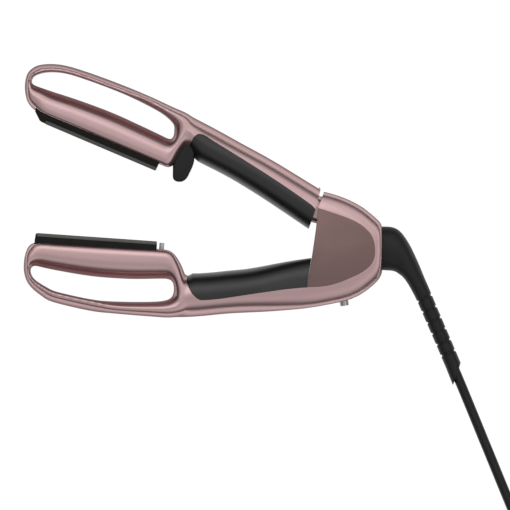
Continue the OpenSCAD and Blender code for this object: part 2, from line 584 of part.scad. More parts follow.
guard_points = curve(upper_set([[-141.4, -10], [-139.4, -16.4], [-137.3, -21], [-134.9, -22.1], [-132.3, -21.6],
    [-129.9, -20], [-128.3, -17], [-127.9, -12.4], [-127.8, -6.9], [-128.6, -2.6], [-131, 3], [-136, 6.5],
    [-140.4, 2]]), 3, true);
guard_w = 26;
module finger_guard() color(soft_black) opened() difference() {
    slab(guard_points, mid - guard_w / 2, mid + guard_w / 2);
    upper_handle_form(upper_root, upper_x(-100), grip_inset);
    // The shell's own skin, as far as the grip
    intersection() {
        upper_handle_form(upper_root, -31);
        slab([[-far, -far], [upper_seam[0].x, -far], [upper_seam[0].x, far], [-far, far]], -1, body_w + 1);
    }
    skin(head_rings(upper_rows, upper_reach, upper_rail, 1), loop = true);
}
module upper_plate_carrier() color(soft_black) opened() on_upper_head() plate_carrier(upper_stand, upper_nose);
module upper_plate() color(plate_black) opened() on_upper_head() hot_plate();
module upper_heater() color("ivory") opened() on_upper_head() heater_block();
module upper_heater_clip() color(steel) opened() on_upper_head() heater_clip();
module upper_thermistor() color("sienna") opened() on_upper_head() thermistor();
module upper_thermal_fuse() color("silver") opened() on_upper_head() thermal_fuse();
module upper_carrier_screws() color(steel) opened() on_upper_head() carrier_screws();
module upper_wires() color("firebrick") opened() wire_run(upper_way, wire_r - 0.1);

// Lead. Its points are chosen by hand: out of the housing, down to the table and on to the coil.
lead_points = [[73.4, -94.5, 6.8], [79.6, -106.7, 5.6], [86.1, -119.7, 4.6], [92.3, -132.2, 3.9],
    [98.5, -144.8, 3.5], [104.7, -157.3, 3.5], [110.9, -169.9, 3.5], [117.1, -182.5, 3.5], [123.3, -195, 3.5],
    [129.5, -207.6, 3.6], [135, -219, 4], [138.3, -226.1, 4.5]];
coil_mid = [185, -203.3];
coil_in = 26.5;
coil_out = 55.5;
coil_z0 = 1;
coil_z1 = 15;
tie_t = 0.9;
tie_angle = 10;
tail_points = [[237, -203.3, 11.5], [237.2, -195.2, 11.1], [237.8, -187.2, 10], [238.8, -179.2, 8.4],
    [239.8, -171.2, 7.1]];
plug_at = [239.8, -171.2, 7.1];
plug_turn = 83;
// Strain relief. Each row has its middle, half its height, the angle of its height from X, its
// level and half its width. The foot's rows follow the foot's sizes, and the others the free end's.
relief_foot = [
    [rear_mid.x, rear_mid.y, 15.75, 90 + rear_turn, 18, 9], [22.2, -14.8, 15.75, 90.4, 18, 9],
    [25.9, -15.4, 15.2, 87.4, 18, 8.9], [29.1, -17.1, 14.1, 84.5, 17.8, 8.7],
    [32.3, -20, 12.7, 81.5, 17.5, 8.5], [35.3, -23.4, 11.15, 78, 17, 8.2],
    [38.4, -27.9, 9.45, 72, 16.3, 7.7], [41.5, -33, 7.85, 62.5, 15.5, 7.2],
    [44.5, -38.5, 6.6, 50, 14.6, 6.4], [47.8, -44.3, 5.95, 36, 13.7, 5.95]
];
relief_sleeve = [
    [47.8, -44.3, 5.95, 36, 13.7, 5.95], [51.2, -50.8, 5.75, 28.5, 12.6, 5.75],
    [58.3, -64.6, 5.7, 27.3, 10.4, 5.7], [65.9, -79.2, 5.65, 27.3, 8.4, 5.65],
    [72.9, -92.9, 5.65, 27.3, 6.9, 5.65], [74.3, -95.6, 5.65, 27.3, 6.7, 5.65]
];
relief_cut = [77.1, -101.8, 8.4, 74.8, 6.2, 5.65];
// One ring of the relief: share is 0 at the foot and 1 from the sleeve on
function relief_ring(r, share, groove = 0) =
    let (tall = 1 + (relief_h / 31.5 - 1) * (1 - share) + (relief_end_d / 11.4 - 1) * share,
         wide = 1 + (relief_w / 18 - 1) * (1 - share) + (relief_end_d / 11.4 - 1) * share)
    [for (k = [0 : 15])
        let (c = (r[2] * tall - groove) * cos(22.5 * k))
        [r[0] + c * cos(r[3]), r[1] + c * sin(r[3]),
         r[4] + (mid - 18) * (1 - share) + (r[5] * wide - groove) * sin(22.5 * k)]];
// Row of the sleeve at a distance from its start
function sleeve_at(x) = let (start = relief_sleeve[0])
    [for (k = [0 : 5]) lookup(x, [for (r = relief_sleeve) [norm([r[0] - start[0], r[1] - start[1]]), r[k]]])];
groove_start = 4;
groove_count = 5;
groove_w = 1.8;
groove_edge = 0.3;
module strain_relief() color(soft_black) difference() {
    foot = curve(relief_foot, 3);
    union() {
        skin(concat(
            [for (i = [0 : len(foot) - 2]) relief_ring(foot[i], i / (len(foot) - 1))],
            [for (g = [0 : groove_count], k = [0 : 3])
                let (x = groove_start + g * groove_pitch
                         + [0, groove_edge, groove_w - groove_edge, groove_w][k])
                relief_ring(sleeve_at(x), 1, k == 1 || k == 2 ? groove_d : 0)],
            [relief_ring(relief_sleeve[5], 1), relief_ring(relief_cut, 1)]));
        on_rear() {
            rod(-wall - neck_in, 0, neck_r);
            rod(-wall - neck_in, -wall, neck_r + 2);
        }
    }
    tube([lead_points[0], lead_points[1]], lead_d / 2, 12);
}
module mains_lead() color(soft_black) {
    tube(lead_points, lead_d / 2, 12);
    tube(tail_points, lead_d / 2, 12);
}
module coil_section(t = 0) translate([coil_in - t, coil_z0 - t])
    square([coil_out - coil_in + 2 * t, coil_z1 - coil_z0 + 2 * t]);
module lead_coil() color(soft_black) translate(coil_mid) rotate_extrude($fn = 72) coil_section();
module lead_ties() color("dimgray") for (a = [70, 250]) translate(coil_mid) rotate([0, 0, a])
    rotate_extrude(angle = tie_angle, $fn = 72) difference() {
        coil_section(tie_t);
        coil_section();
    }
module on_plug() translate(plug_at) rotate([0, 0, plug_turn]) children();
plug_l = 38;
pin_gap = 19;
module plug_body() color(soft_black) on_plug()
    skin([for (r = [[0, 5, 5], [6, 5.4, 5.4], [12, 7.4, 6.4], [20, 12, 6.9], [28, 13.4, 7], [36, 13.4, 7],
            [plug_l, 12.6, 6.2]])
        ring_at([r[0], 0, 0], [1, 0, 0], r[1], r[2], 24)]);
module plug_pins() color(steel) on_plug()
    for (y = [-pin_gap / 2, pin_gap / 2]) translate([0, y, 0]) rod(plug_l, plug_l + 19, 2);

lower_arm_shell();
lower_grip();
lower_plate_carrier();
lower_plate();
lower_heater();
lower_heater_clip();
lower_thermistor();
lower_thermal_fuse();
lower_carrier_screws();
plate_bumper();
lower_wires();
left_side_cover();
right_side_cover();
hinge_pin();
thrust_washers();
opening_spring();
circuit_board();
board_parts();
power_switch();
power_button();
lead_clamp();
lead_clamp_screws();
lead_stub();
mains_wires();
upper_arm_shell();
upper_grip();
finger_guard();
upper_plate_carrier();
upper_plate();
upper_heater();
upper_heater_clip();
upper_thermistor();
upper_thermal_fuse();
upper_carrier_screws();
upper_wires();
opened() hinge_bushes();
strain_relief();
mains_lead();
lead_coil();
lead_ties();
plug_body();
plug_pins();
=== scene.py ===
"""Hair straightener with looped heads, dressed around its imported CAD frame.

Sizes are in millimetres, as in the part's source, until a mesh is made. The upper arm is drawn
closed, with its plate on the lower plate, and is then opened about the hinge pin.
"""

from __future__ import annotations

import json
import logging
import math
from dataclasses import dataclass, field
from enum import Enum
from typing import Callable, Iterable, Sequence

import bmesh
import bpy
from mathutils import Matrix, Vector

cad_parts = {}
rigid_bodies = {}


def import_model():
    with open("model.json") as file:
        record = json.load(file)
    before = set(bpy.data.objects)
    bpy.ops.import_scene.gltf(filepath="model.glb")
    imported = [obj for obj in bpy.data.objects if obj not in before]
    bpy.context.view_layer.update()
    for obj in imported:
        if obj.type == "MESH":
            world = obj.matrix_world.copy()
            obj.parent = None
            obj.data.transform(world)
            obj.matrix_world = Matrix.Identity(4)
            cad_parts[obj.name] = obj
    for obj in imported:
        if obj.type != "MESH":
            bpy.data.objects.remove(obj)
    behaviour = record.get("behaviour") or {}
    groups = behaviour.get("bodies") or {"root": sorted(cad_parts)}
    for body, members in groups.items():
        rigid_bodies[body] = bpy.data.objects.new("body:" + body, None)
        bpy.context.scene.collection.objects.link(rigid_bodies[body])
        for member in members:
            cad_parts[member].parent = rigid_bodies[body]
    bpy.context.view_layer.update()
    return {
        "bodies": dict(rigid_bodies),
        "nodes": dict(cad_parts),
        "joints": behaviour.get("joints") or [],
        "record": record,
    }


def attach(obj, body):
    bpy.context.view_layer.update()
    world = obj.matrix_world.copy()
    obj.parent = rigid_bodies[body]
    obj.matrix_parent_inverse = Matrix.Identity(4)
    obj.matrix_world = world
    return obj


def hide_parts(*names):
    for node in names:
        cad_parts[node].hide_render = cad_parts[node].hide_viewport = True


LOG = logging.getLogger("straightener")
# Metres in a millimetre
MM = 0.001
# Places closer than this are the same place
NEAR = 0.01
# Beyond every piece, for cutters that are open on one side
FAR = 300.0
# How far a cutter stands out of the face that it cuts
OVER = 2.0
# Steps of a rounded corner of a section
CORNER_STEPS = 6
# Largest share of a section's height that one rounding takes, and the flat that stays beside it
ROUND_SHARE = 0.46
SIDE_FLAT = 0.3
# Grid on which a moulding's forms are melted together, and the smoothing passes after it
SKIN_GRAIN = 0.9
SKIN_PASSES = 14

Point = tuple[float, float]
Point3 = tuple[float, float, float]
# Shares of a section's height for its outer and its window's rounding, and how deep the two are
Form = tuple[float, float, float, float]
# Share of a head's length, dx and depth of the outer edge, dx and depth of the window's edge, form
Row = tuple[float, float, float, float, float, Form]


# Curves


def lookup(x: float, table: Sequence[Point]) -> float:
    """Value of a piecewise straight line at x.

    Args:
        x: Where the value is wanted.
        table: Points of the line, sorted by their first number.

    Returns:
        The value at x, held at both ends.
    """
    if x <= table[0][0]:
        return table[0][1]
    for (x0, y0), (x1, y1) in zip(table, table[1:]):
        if x <= x1:
            return y0 + (y1 - y0) * (x - x0) / (x1 - x0)
    return table[-1][1]


def smooth_value(a: float, b: float, c: float, d: float, t: float) -> float:
    """Smooth value between b and c.

    Args:
        a: Value before b.
        b: Value at the start.
        c: Value at the end.
        d: Value after c.
        t: Share of the way from b to c.

    Returns:
        The value at t.
    """
    square = 2 * a - 5 * b + 4 * c - d
    cube = 3 * b - a - 3 * c + d
    return (2 * b + (c - a) * t + square * t * t + cube * t * t * t) / 2


def through(points: Sequence[Sequence[float]], steps: int = 4, loop: bool = False) -> list[tuple[float, ...]]:
    """Smooth curve through points.

    Args:
        points: Points of any dimension.
        steps: Steps from each point to the next.
        loop: Whether the curve closes.

    Returns:
        The points of the curve.
    """
    count = len(points)
    made = []
    for i in range(count if loop else count - 1):
        if loop:
            four = [points[(i + k) % count] for k in (-1, 0, 1, 2)]
        else:
            four = [points[max(i - 1, 0)], points[i], points[i + 1], points[min(i + 2, count - 1)]]
        for k in range(steps):
            made.append(tuple(smooth_value(*axis, k / steps) for axis in zip(*four)))
    if not loop:
        made.append(tuple(points[-1]))
    return made


# Meshes


class Clay:
    """A mesh in millimetres that is shaped with bmesh operators and then made a piece."""

    def __init__(self) -> None:
        """Starts empty."""
        self.bm = bmesh.new()

    def ring(self, points: Iterable[Sequence[float]]) -> list[bmesh.types.BMVert]:
        """Adds a closed loop of edges.

        Args:
            points: Its points, in order.

        Returns:
            The vertices of the loop.
        """
        verts = [self.bm.verts.new(p) for p in points]
        for a, b in zip(verts, verts[1:] + verts[:1]):
            self.bm.edges.new((a, b))
        return verts

    def grow(self, verts: list[bmesh.types.BMVert],
             points: Sequence[Sequence[float]]) -> list[bmesh.types.BMVert]:
        """Extrudes a loop of edges and puts the new loop at points.

        Args:
            verts: Vertices of the loop, in order.
            points: Where the new vertices go, in the same order.

        Returns:
            The new vertices, in order.
        """
        edges = [self.bm.edges.get((a, b)) for a, b in zip(verts, verts[1:] + verts[:1])]
        made = bmesh.ops.extrude_edge_only(self.bm, edges=edges)["geom"]
        fresh = {v for v in made if isinstance(v, bmesh.types.BMVert)}
        new = [next(e.other_vert(v) for e in v.link_edges if e.other_vert(v) in fresh) for v in verts]
        for v, p in zip(new, points):
            v.co = p
        return new

    def cap(self, verts: Sequence[bmesh.types.BMVert]) -> "Clay":
        """Closes a loop with one face."""
        bmesh.ops.contextual_create(self.bm, geom=list(verts))
        return self

    def loft(self, rings: Sequence[Sequence[Point3]], loop: bool = False) -> "Clay":
        """Skins rings of equal length, closed by caps or by joining the last ring to the first.

        Args:
            rings: The rings, in order.
            loop: Whether the last ring is joined to the first.

        Returns:
            This mesh.
        """
        first = last = self.ring(rings[0])
        for ring in rings[1:]:
            last = self.grow(last, ring)
        if loop:
            pairs = [list(zip(v, v[1:] + v[:1])) for v in (last, first)]
            edges = [self.bm.edges.get(p) for pair in pairs for p in pair]
            bmesh.ops.bridge_loops(self.bm, edges=edges)
        else:
            self.cap(first)
            self.cap(last)
        return self.outward()

    def prism(self, points: Sequence[Point], z0: float, z1: float) -> "Clay":
        """Extrudes an outline from z0 to z1."""
        return self.loft([[(x, y, z) for x, y in points] for z in (z0, z1)])

    def box(self, lo: Point3, hi: Point3) -> "Clay":
        """Adds a box.

        Args:
            lo: Its corner with the smallest numbers.
            hi: The corner opposite.

        Returns:
            This mesh.
        """
        middle = (Vector(lo) + Vector(hi)) / 2
        size = Vector(hi) - Vector(lo)
        place = Matrix.Translation(middle) @ Matrix.Diagonal(size.to_4d())
        bmesh.ops.create_cube(self.bm, size=1, matrix=place)
        return self

    def bar(self, start: Point3, end: Point3, radius: float, sides: int = 40) -> "Clay":
        """Adds a round bar.

        Args:
            start: Middle of its first end.
            end: Middle of its other end.
            radius: Its radius.
            sides: Sides round it.

        Returns:
            This mesh.
        """
        a, b = Vector(start), Vector(end)
        turn = (b - a).to_track_quat("Z", "Y").to_matrix().to_4x4()
        bmesh.ops.create_cone(self.bm, cap_ends=True, segments=sides, radius1=radius, radius2=radius,
                              depth=(b - a).length, matrix=Matrix.Translation((a + b) / 2) @ turn)
        return self

    def soften(self, width: float, segments: int = 3, angle: float = 40.0,
               where: Callable[[bmesh.types.BMEdge], bool] | None = None) -> "Clay":
        """Bevels the sharp edges.

        Args:
            width: Width of the bevel.
            segments: Its steps.
            angle: Edges that turn by more than this are bevelled.
            where: A further test of an edge.

        Returns:
            This mesh.
        """
        limit = math.radians(angle)
        edges = [e for e in self.bm.edges if len(e.link_faces) == 2 and e.calc_face_angle(0) > limit
                 and (where is None or where(e))]
        bmesh.ops.bevel(self.bm, geom=edges, offset=width, offset_type="OFFSET", segments=segments,
                        profile=0.5, affect="EDGES", material=-1, clamp_overlap=True)
        return self

    def move(self, frame: Matrix) -> "Clay":
        """Takes the mesh through a frame, with its faces kept pointing outwards.

        Args:
            frame: The frame, which may mirror.

        Returns:
            This mesh.
        """
        bmesh.ops.transform(self.bm, matrix=frame, verts=self.bm.verts)
        if frame.determinant() < 0:
            bmesh.ops.reverse_faces(self.bm, faces=self.bm.faces)
        return self

    def outward(self) -> "Clay":
        """Turns every face outwards."""
        bmesh.ops.recalc_face_normals(self.bm, faces=self.bm.faces)
        return self

    def fair(self, passes: int) -> "Clay":
        """Smooths the whole mesh.

        Args:
            passes: How often.

        Returns:
            This mesh.
        """
        for _ in range(passes):
            bmesh.ops.smooth_vert(self.bm, verts=self.bm.verts, factor=0.5, use_axis_x=True, use_axis_y=True,
                                  use_axis_z=True)
        return self

    def take(self, mesh: bpy.types.Mesh) -> "Clay":
        """Adds the faces of a mesh.

        Args:
            mesh: The mesh, in metres.

        Returns:
            This mesh.
        """
        mesh.transform(Matrix.Scale(1 / MM, 4))
        self.bm.from_mesh(mesh)
        return self

    def join(self, other: "Clay") -> "Clay":
        """Adds the faces of another mesh, which is used up."""
        return self.take(applied(other.piece("spare")))

    def piece(self, name: str, sharp: float = 38.0) -> bpy.types.Object:
        """Makes an object, smooth but for its sharp edges.

        Args:
            name: The object's name.
            sharp: Edges that turn by more than this stay sharp.

        Returns:
            The object, at the origin.
        """
        limit = math.radians(sharp)
        for f in self.bm.faces:
            f.smooth = True
        for e in self.bm.edges:
            e.smooth = len(e.link_faces) != 2 or e.calc_face_angle(0) < limit
        bmesh.ops.transform(self.bm, matrix=Matrix.Scale(MM, 4), verts=self.bm.verts)
        mesh = bpy.data.meshes.new(name)
        self.bm.to_mesh(mesh)
        self.bm.free()
        thing = bpy.data.objects.new(name, mesh)
        bpy.context.scene.collection.objects.link(thing)
        return thing


def applied(thing: bpy.types.Object) -> bpy.types.Mesh:
    """Mesh of an object with its modifiers applied; the object is removed.

    Args:
        thing: The object.

    Returns:
        Its final mesh.
    """
    shown = thing.evaluated_get(bpy.context.evaluated_depsgraph_get())
    mesh = bpy.data.meshes.new_from_object(shown)
    bpy.data.objects.remove(thing, do_unlink=True)
    return mesh


def melted(parts: Sequence[Clay]) -> Clay:
    """Melts closed forms into one skin with soft fillets where they meet.

    Args:
        parts: The forms.

    Returns:
        The one form.
    """
    whole = parts[0]
    for other in parts[1:]:
        whole.join(other)
    thing = whole.piece("melt")
    remesh = thing.modifiers.new("melt", "REMESH")
    remesh.mode = "VOXEL"
    remesh.voxel_size = SKIN_GRAIN * MM
    return Clay().take(applied(thing)).fair(SKIN_PASSES)


class Carving(Enum):
    """How a closed form works on a body."""

    CUT = "DIFFERENCE"
    KEEP = "INTERSECT"
    ADD = "UNION"


def carved(body: Clay, cutters: Sequence[Clay], carving: Carving = Carving.CUT) -> Clay:
    """Works closed forms on a body, one after another.

    Args:
        body: The body.
        cutters: The closed forms.
        carving: Whether they are cut away, kept or added.

    Returns:
        The carved body.
    """
    thing = body.piece("body")
    tools = [cutter.piece("cutter") for cutter in cutters]
    for tool in tools:
        cut = thing.modifiers.new("cut", "BOOLEAN")
        cut.operation = carving.value
        cut.solver = "MANIFOLD"
        cut.object = tool
    mesh = applied(thing)
    for tool in tools:
        bpy.data.objects.remove(tool, do_unlink=True)
    return Clay().take(mesh)


# Finishes

# Detail and roughness of the patches' noise, and the range in which it mostly lies
PATCH_DETAIL, PATCH_ROUGHNESS = 4.0, 0.55
PATCH_LOW, PATCH_HIGH = 0.3, 0.7
# Detail of the grain's noise, and how much longer than wide a brushed grain is
GRAIN_DETAIL = 3.0
BRUSHED_STRETCH = 14.0


def linear(colour: str) -> tuple[float, float, float, float]:
    """Turns an sRGB hex colour to linear RGBA."""
    parts = [int(colour[i:i + 2], 16) / 255 for i in (1, 3, 5)]
    return (*(p / 12.92 if p <= 0.04045 else ((p + 0.055) / 1.055) ** 2.4 for p in parts), 1.0)


def add_node(tree: bpy.types.NodeTree, kind: str, settings: dict | None = None,
             inputs: dict | None = None) -> bpy.types.Node:
    """Adds a node with its settings, and its inputs as values or as sockets to link.

    Args:
        tree: The node tree.
        kind: The node's type.
        settings: Properties of the node.
        inputs: Values or output sockets, by input name or number.

    Returns:
        The node.
    """
    node = tree.nodes.new(kind)
    for key, value in (settings or {}).items():
        setattr(node, key, value)
    for key, value in (inputs or {}).items():
        if isinstance(value, bpy.types.NodeSocket):
            tree.links.new(value, node.inputs[key])
        else:
            node.inputs[key].default_value = value
    return node


class Grain(Enum):
    """How a surface was made, which gives its fine relief."""

    MOULDED = "moulded"
    BRUSHED = "brushed"
    SPECKLED = "speckled"


@dataclass(frozen=True)
class Finish:
    """One finish: its colours, its gloss and its relief, with real sizes in millimetres."""

    name: str
    colour: str
    shade: str
    roughness: float
    rough_spread: float = 0.06
    patch_mm: float = 14.0
    grain: Grain = Grain.MOULDED
    grain_mm: float = 0.5
    relief_mm: float = 0.01
    metallic: float = 0.0
    ior: float = 1.5
    coat: float = 0.0
    coat_roughness: float = 0.1
    specular: float = 0.5
    # Tint of the metal's reflection at grazing angles; below white it paints shade into the rims
    edge_shade_tint: str = "#FFFFFF"

    def material(self) -> bpy.types.Material:
        """Builds the node material.

        Returns:
            The material.
        """
        made = bpy.data.materials.new(self.name)
        made.use_nodes = True
        tree = made.node_tree
        tree.nodes.clear()
        place = add_node(tree, "ShaderNodeTexCoord").outputs["Object"]
        patches = add_node(tree, "ShaderNodeTexNoise", None, {
            "Vector": place, "Scale": 1 / (self.patch_mm * MM), "Detail": PATCH_DETAIL,
            "Roughness": PATCH_ROUGHNESS})
        mix = add_node(tree, "ShaderNodeMix", {"data_type": "RGBA"}, {
            "Factor": patches.outputs["Fac"], 6: linear(self.colour), 7: linear(self.shade)})
        across = BRUSHED_STRETCH if self.grain is Grain.BRUSHED else 1.0
        mapping = add_node(tree, "ShaderNodeMapping", None, {"Vector": place, "Scale": (1.0, across, across)})
        grain = {"Vector": mapping.outputs[0], "Scale": 1 / (self.grain_mm * MM)}
        if self.grain is Grain.SPECKLED:
            relief = add_node(tree, "ShaderNodeTexVoronoi", None, grain).outputs["Distance"]
        else:
            grain["Detail"] = GRAIN_DETAIL
            relief = add_node(tree, "ShaderNodeTexNoise", None, grain).outputs["Fac"]
        bump = add_node(tree, "ShaderNodeBump", None, {
            "Height": relief, "Distance": self.relief_mm * MM, "Strength": 1.0})
        gloss = add_node(tree, "ShaderNodeMapRange", None, {
            "Value": patches.outputs["Fac"], "From Min": PATCH_LOW, "From Max": PATCH_HIGH,
            "To Min": self.roughness - self.rough_spread / 2,
            "To Max": self.roughness + self.rough_spread / 2})
        shader = add_node(tree, "ShaderNodeBsdfPrincipled", None, {
            "Base Color": mix.outputs[2], "Roughness": gloss.outputs[0], "Normal": bump.outputs[0],
            "Metallic": self.metallic, "IOR": self.ior, "Coat Weight": self.coat,
            "Coat Roughness": self.coat_roughness, "Specular IOR Level": self.specular,
            "Specular Tint": linear(self.edge_shade_tint)})
        add_node(tree, "ShaderNodeOutputMaterial", None, {"Surface": shader.outputs[0]})
        return made


# Finish of each slot of the record
SLOTS: dict[str, Finish] = {
    # Satin metallic lacquer over moulded ABS: pearly, with soft wide highlights; its near-black edge tint
    # paints shade into the reflections at its rims
    "rose_shell": Finish("rose_metallic_lacquer", "#CFAEAF", "#CAA8A9", 0.3, 0.03, 30, Grain.SPECKLED, 0.35,
                         0.0012, metallic=0.95, coat=0.3, coat_roughness=0.3, edge_shade_tint="#2E2A29"),
    # The same lacquer, flatter, on the side covers: a darker copy whose colour paints in the shade of their
    # flat faces, with a grey edge tint that paints shade at their rims
    "mauve_cover": Finish("shade_darkened_lacquer", "#8A726F", "#826A68", 0.36, 0.05, 24, Grain.SPECKLED, 0.35, 0.002,
                          metallic=0.8, edge_shade_tint="#8A8482"),
    # Soft-touch elastomer over the handles: black with a broad dull sheen
    "soft_grip": Finish("soft_touch_elastomer", "#161616", "#121212", 0.34, 0.05, 12, Grain.MOULDED, 0.4,
                        0.003, specular=0.68),
    # Glass-filled resin of the plate carriers: near black and dull
    "carrier_resin": Finish("glass_filled_resin", "#12100E", "#0D0B0A", 0.5, 0.1, 6, Grain.SPECKLED, 0.5,
                            0.01, specular=0.2),
    # Ceramic coating on the aluminium plates: dark and smooth with a clear gloss
    "plate_coating": Finish("ceramic_plate_coating", "#5E5D5A", "#545350", 0.3, 0.05, 20, Grain.BRUSHED, 0.6,
                            0.0008, metallic=0.6),
    # Sintered alumina of the heaters: chalky white
    "white_ceramic": Finish("sintered_alumina", "#E8E4DA", "#DDD8CC", 0.6, 0.08, 5, Grain.SPECKLED, 0.3,
                            0.01),
    # Hardened steel of pins, clips, screws and springs: bright with a fine drawn grain
    "spring_steel": Finish("spring_steel", "#B9BABC", "#A6A7AA", 0.32, 0.1, 6, Grain.BRUSHED, 0.3, 0.003,
                           metallic=1.0),
    # Glass bead of the sensor: brown and shiny
    "sensor_bead": Finish("sensor_glass", "#8A4B2E", "#7A3F26", 0.2, 0.04, 3, Grain.MOULDED, 0.4, 0.003),
    # Tinned can of the thermal fuse: pale and metallic
    "fuse_can": Finish("tinned_can", "#C6C8CA", "#B2B4B8", 0.3, 0.08, 4, Grain.BRUSHED, 0.3, 0.003,
                       metallic=1.0),
    # Silicone stop beside the plate: pale and milky
    "grey_stop": Finish("silicone_stop", "#E2E6E3", "#D8DCD9", 0.55, 0.06, 3, Grain.MOULDED, 0.4, 0.004),
    # Silicone wire insulation: brick red and dull
    "heater_wire": Finish("silicone_wire", "#9B2F2A", "#8A2824", 0.5, 0.06, 5, Grain.MOULDED, 0.4, 0.005),
    # PVC cores of the mains lead: brown with a slight shine
    "mains_core": Finish("pvc_core", "#7A4A2C", "#6C4026", 0.45, 0.05, 5, Grain.MOULDED, 0.4, 0.004),
    # Solder mask over the glass-epoxy board: deep green with a faint weave
    "board_green": Finish("solder_mask", "#1E5A35", "#184C2C", 0.35, 0.06, 4, Grain.SPECKLED, 0.6, 0.006),
    # Epoxy cases of the board's parts: dark grey and dull
    "board_part": Finish("epoxy_case", "#4A4A4C", "#3C3C3E", 0.55, 0.08, 3, Grain.SPECKLED, 0.4, 0.008),
    # Nylon case of the switch: black and dull
    "switch_black": Finish("switch_nylon", "#1D1D1E", "#161617", 0.5, 0.06, 4, Grain.MOULDED, 0.4, 0.006),
    # Satin chrome on the power button: pale metal with a soft shine
    "silver_button": Finish("satin_chrome", "#BDBDBA", "#AFAFAC", 0.26, 0.06, 3, Grain.BRUSHED, 0.4, 0.002,
                            metallic=1.0),
    # Glass-filled nylon of the lead clamp: dark and dry
    "clamp_resin": Finish("clamp_nylon", "#262627", "#1E1E1F", 0.55, 0.06, 5, Grain.SPECKLED, 0.4, 0.008),
    # Natural acetal of the bushes: milky and slippery
    "bush_nylon": Finish("natural_acetal", "#E6E1D3", "#DCD6C6", 0.35, 0.05, 5, Grain.MOULDED, 0.4, 0.003),
    # Flexible PVC of lead and strain relief: black with a dull shine
    "lead_rubber": Finish("flexible_pvc", "#1C1C1D", "#151516", 0.46, 0.08, 9, Grain.MOULDED, 0.5, 0.008,
                          ior=1.4),
    # Rubber of the ties: dark grey and matt
    "tie_rubber": Finish("tie_rubber", "#3A3A3B", "#303031", 0.6, 0.06, 5, Grain.MOULDED, 0.5, 0.01),
    # Hard PVC of the plug: black with a slight gloss
    "plug_resin": Finish("plug_pvc", "#262627", "#1F1F20", 0.42, 0.06, 9, Grain.SPECKLED, 0.5, 0.006),
    # Nickel plating on the brass pins of the plug: warm bright metal
    "plug_pin": Finish("nickel_plating", "#CFC8B4", "#C2BAA4", 0.22, 0.06, 4, Grain.BRUSHED, 0.4, 0.002,
                       metallic=1.0),
}
# The finger guard's harder elastomer: dull, and darker than the grips
HARD_BLACK = Finish("hard_black_elastomer", "#191919", "#141414", 0.44, 0.05, 8, Grain.MOULDED, 0.4, 0.004,
                    specular=0.3)


@dataclass
class Workshop:
    """Dresses pieces and hands them to the frame."""

    slots: dict[str, str]
    paints: dict[str, bpy.types.Material] = field(default_factory=dict)

    def paint(self, thing: bpy.types.Object, finish: Finish) -> None:
        """Gives an object the material of a finish.

        Args:
            thing: The object.
            finish: The finish, whose material is built once.
        """
        if finish.name not in self.paints:
            self.paints[finish.name] = finish.material()
        thing.data.materials.clear()
        thing.data.materials.append(self.paints[finish.name])

    def fit(self, thing: bpy.types.Object, body: str, slot: str, replaces: Sequence[str] = (),
            finish: Finish | None = None) -> bpy.types.Object:
        """Paints a piece, rides it on a body and lets it stand for its CAD nodes.

        Args:
            thing: The piece.
            body: The CAD body that it moves with.
            slot: The record's slot of its finish.
            replaces: CAD nodes that it stands for.
            finish: Its finish, where that isn't the slot's usual one.

        Returns:
            The piece.
        """
        self.paint(thing, finish or SLOTS[slot])
        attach(thing, body)
        if replaces:
            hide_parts(*replaces)
        LOG.info("%s rides on %s with %s", thing.name, body, slot)
        return thing

    def carry_over(self, nodes: dict[str, bpy.types.Object]) -> None:
        """Paints the CAD nodes that are shown as they are.

        Args:
            nodes: The frame's objects, by node.
        """
        for name, thing in nodes.items():
            if not thing.hide_render:
                self.paint(thing, SLOTS[self.slots[name]])
                LOG.info("%s is kept with %s", name, self.slots[name])


# Sizes that the pieces share


@dataclass(frozen=True)
class Sizes:
    """Sizes of the part's source that more than one piece needs."""

    body_w: float = 36.0
    wall: float = 2.4
    open_angle: float = 19.0
    grip_inset: float = 0.4
    grip_wall: float = 2.5
    plate_l: float = 86.5
    plate_w: float = 28.0
    plate_t: float = 2.5
    lower_reach: float = 145.0
    upper_reach: float = 151.0
    plate_drop: float = 21.1
    closed_gap: float = 0.2
    lower_stand: float = 5.4
    upper_stand: float = 5.6
    carrier_d: float = 13.0
    carrier_wall: float = 1.6
    plate_ledge: float = 1.6
    knuckle_d: float = 14.0
    cover_t: float = 2.0
    button_d: float = 6.5
    button_proud: float = 3.3
    lead_d: float = 7.0
    edge_z: float = 15.0
    head_extra: float = 2.5
    tie_t: float = 0.9
    neck_r: float = 5.9
    neck_play: float = 0.1

    @property
    def head_l(self) -> float:
        """Length of a head from the plate's near end."""
        return self.plate_l + self.head_extra

    @property
    def carrier_half(self) -> float:
        """Half of a carrier's width."""
        return self.plate_w / 2 + self.carrier_wall

    @property
    def mid(self) -> float:
        """Height of the middle plane."""
        return self.body_w / 2

    @property
    def cheek(self) -> float:
        """Wall beside the housing's cavity, with the cover's recess."""
        return self.cover_t + self.wall

    @property
    def lower_face(self) -> float:
        """Level of the lower plate's face."""
        return -(self.plate_drop + self.closed_gap / 2)

    @property
    def upper_face(self) -> float:
        """Level of the upper plate's face, closed."""
        return -(self.plate_drop - self.closed_gap / 2)

    @property
    def lower_rail(self) -> float:
        """Level of the lower rail."""
        return self.lower_face - self.lower_stand

    @property
    def upper_rail(self) -> float:
        """Level of the upper rail, closed."""
        return self.upper_face + self.upper_stand

    @property
    def opened(self) -> Matrix:
        """Turns the closed upper arm open."""
        return Matrix.Rotation(math.radians(-self.open_angle), 4, "Z")

    @property
    def on_lower_head(self) -> Matrix:
        """Frame of the lower plate."""
        middle = Matrix.Translation((-self.lower_reach, self.lower_face, self.mid))
        return middle @ Matrix.Rotation(math.pi, 4, "Z")

    @property
    def on_upper_head(self) -> Matrix:
        """Frame of the upper plate, opened."""
        return (self.opened @ Matrix.Translation((-self.upper_reach, self.upper_face, self.mid))
                @ Matrix.Diagonal((-1, 1, 1, 1)))


SIZES = Sizes()


# Sections


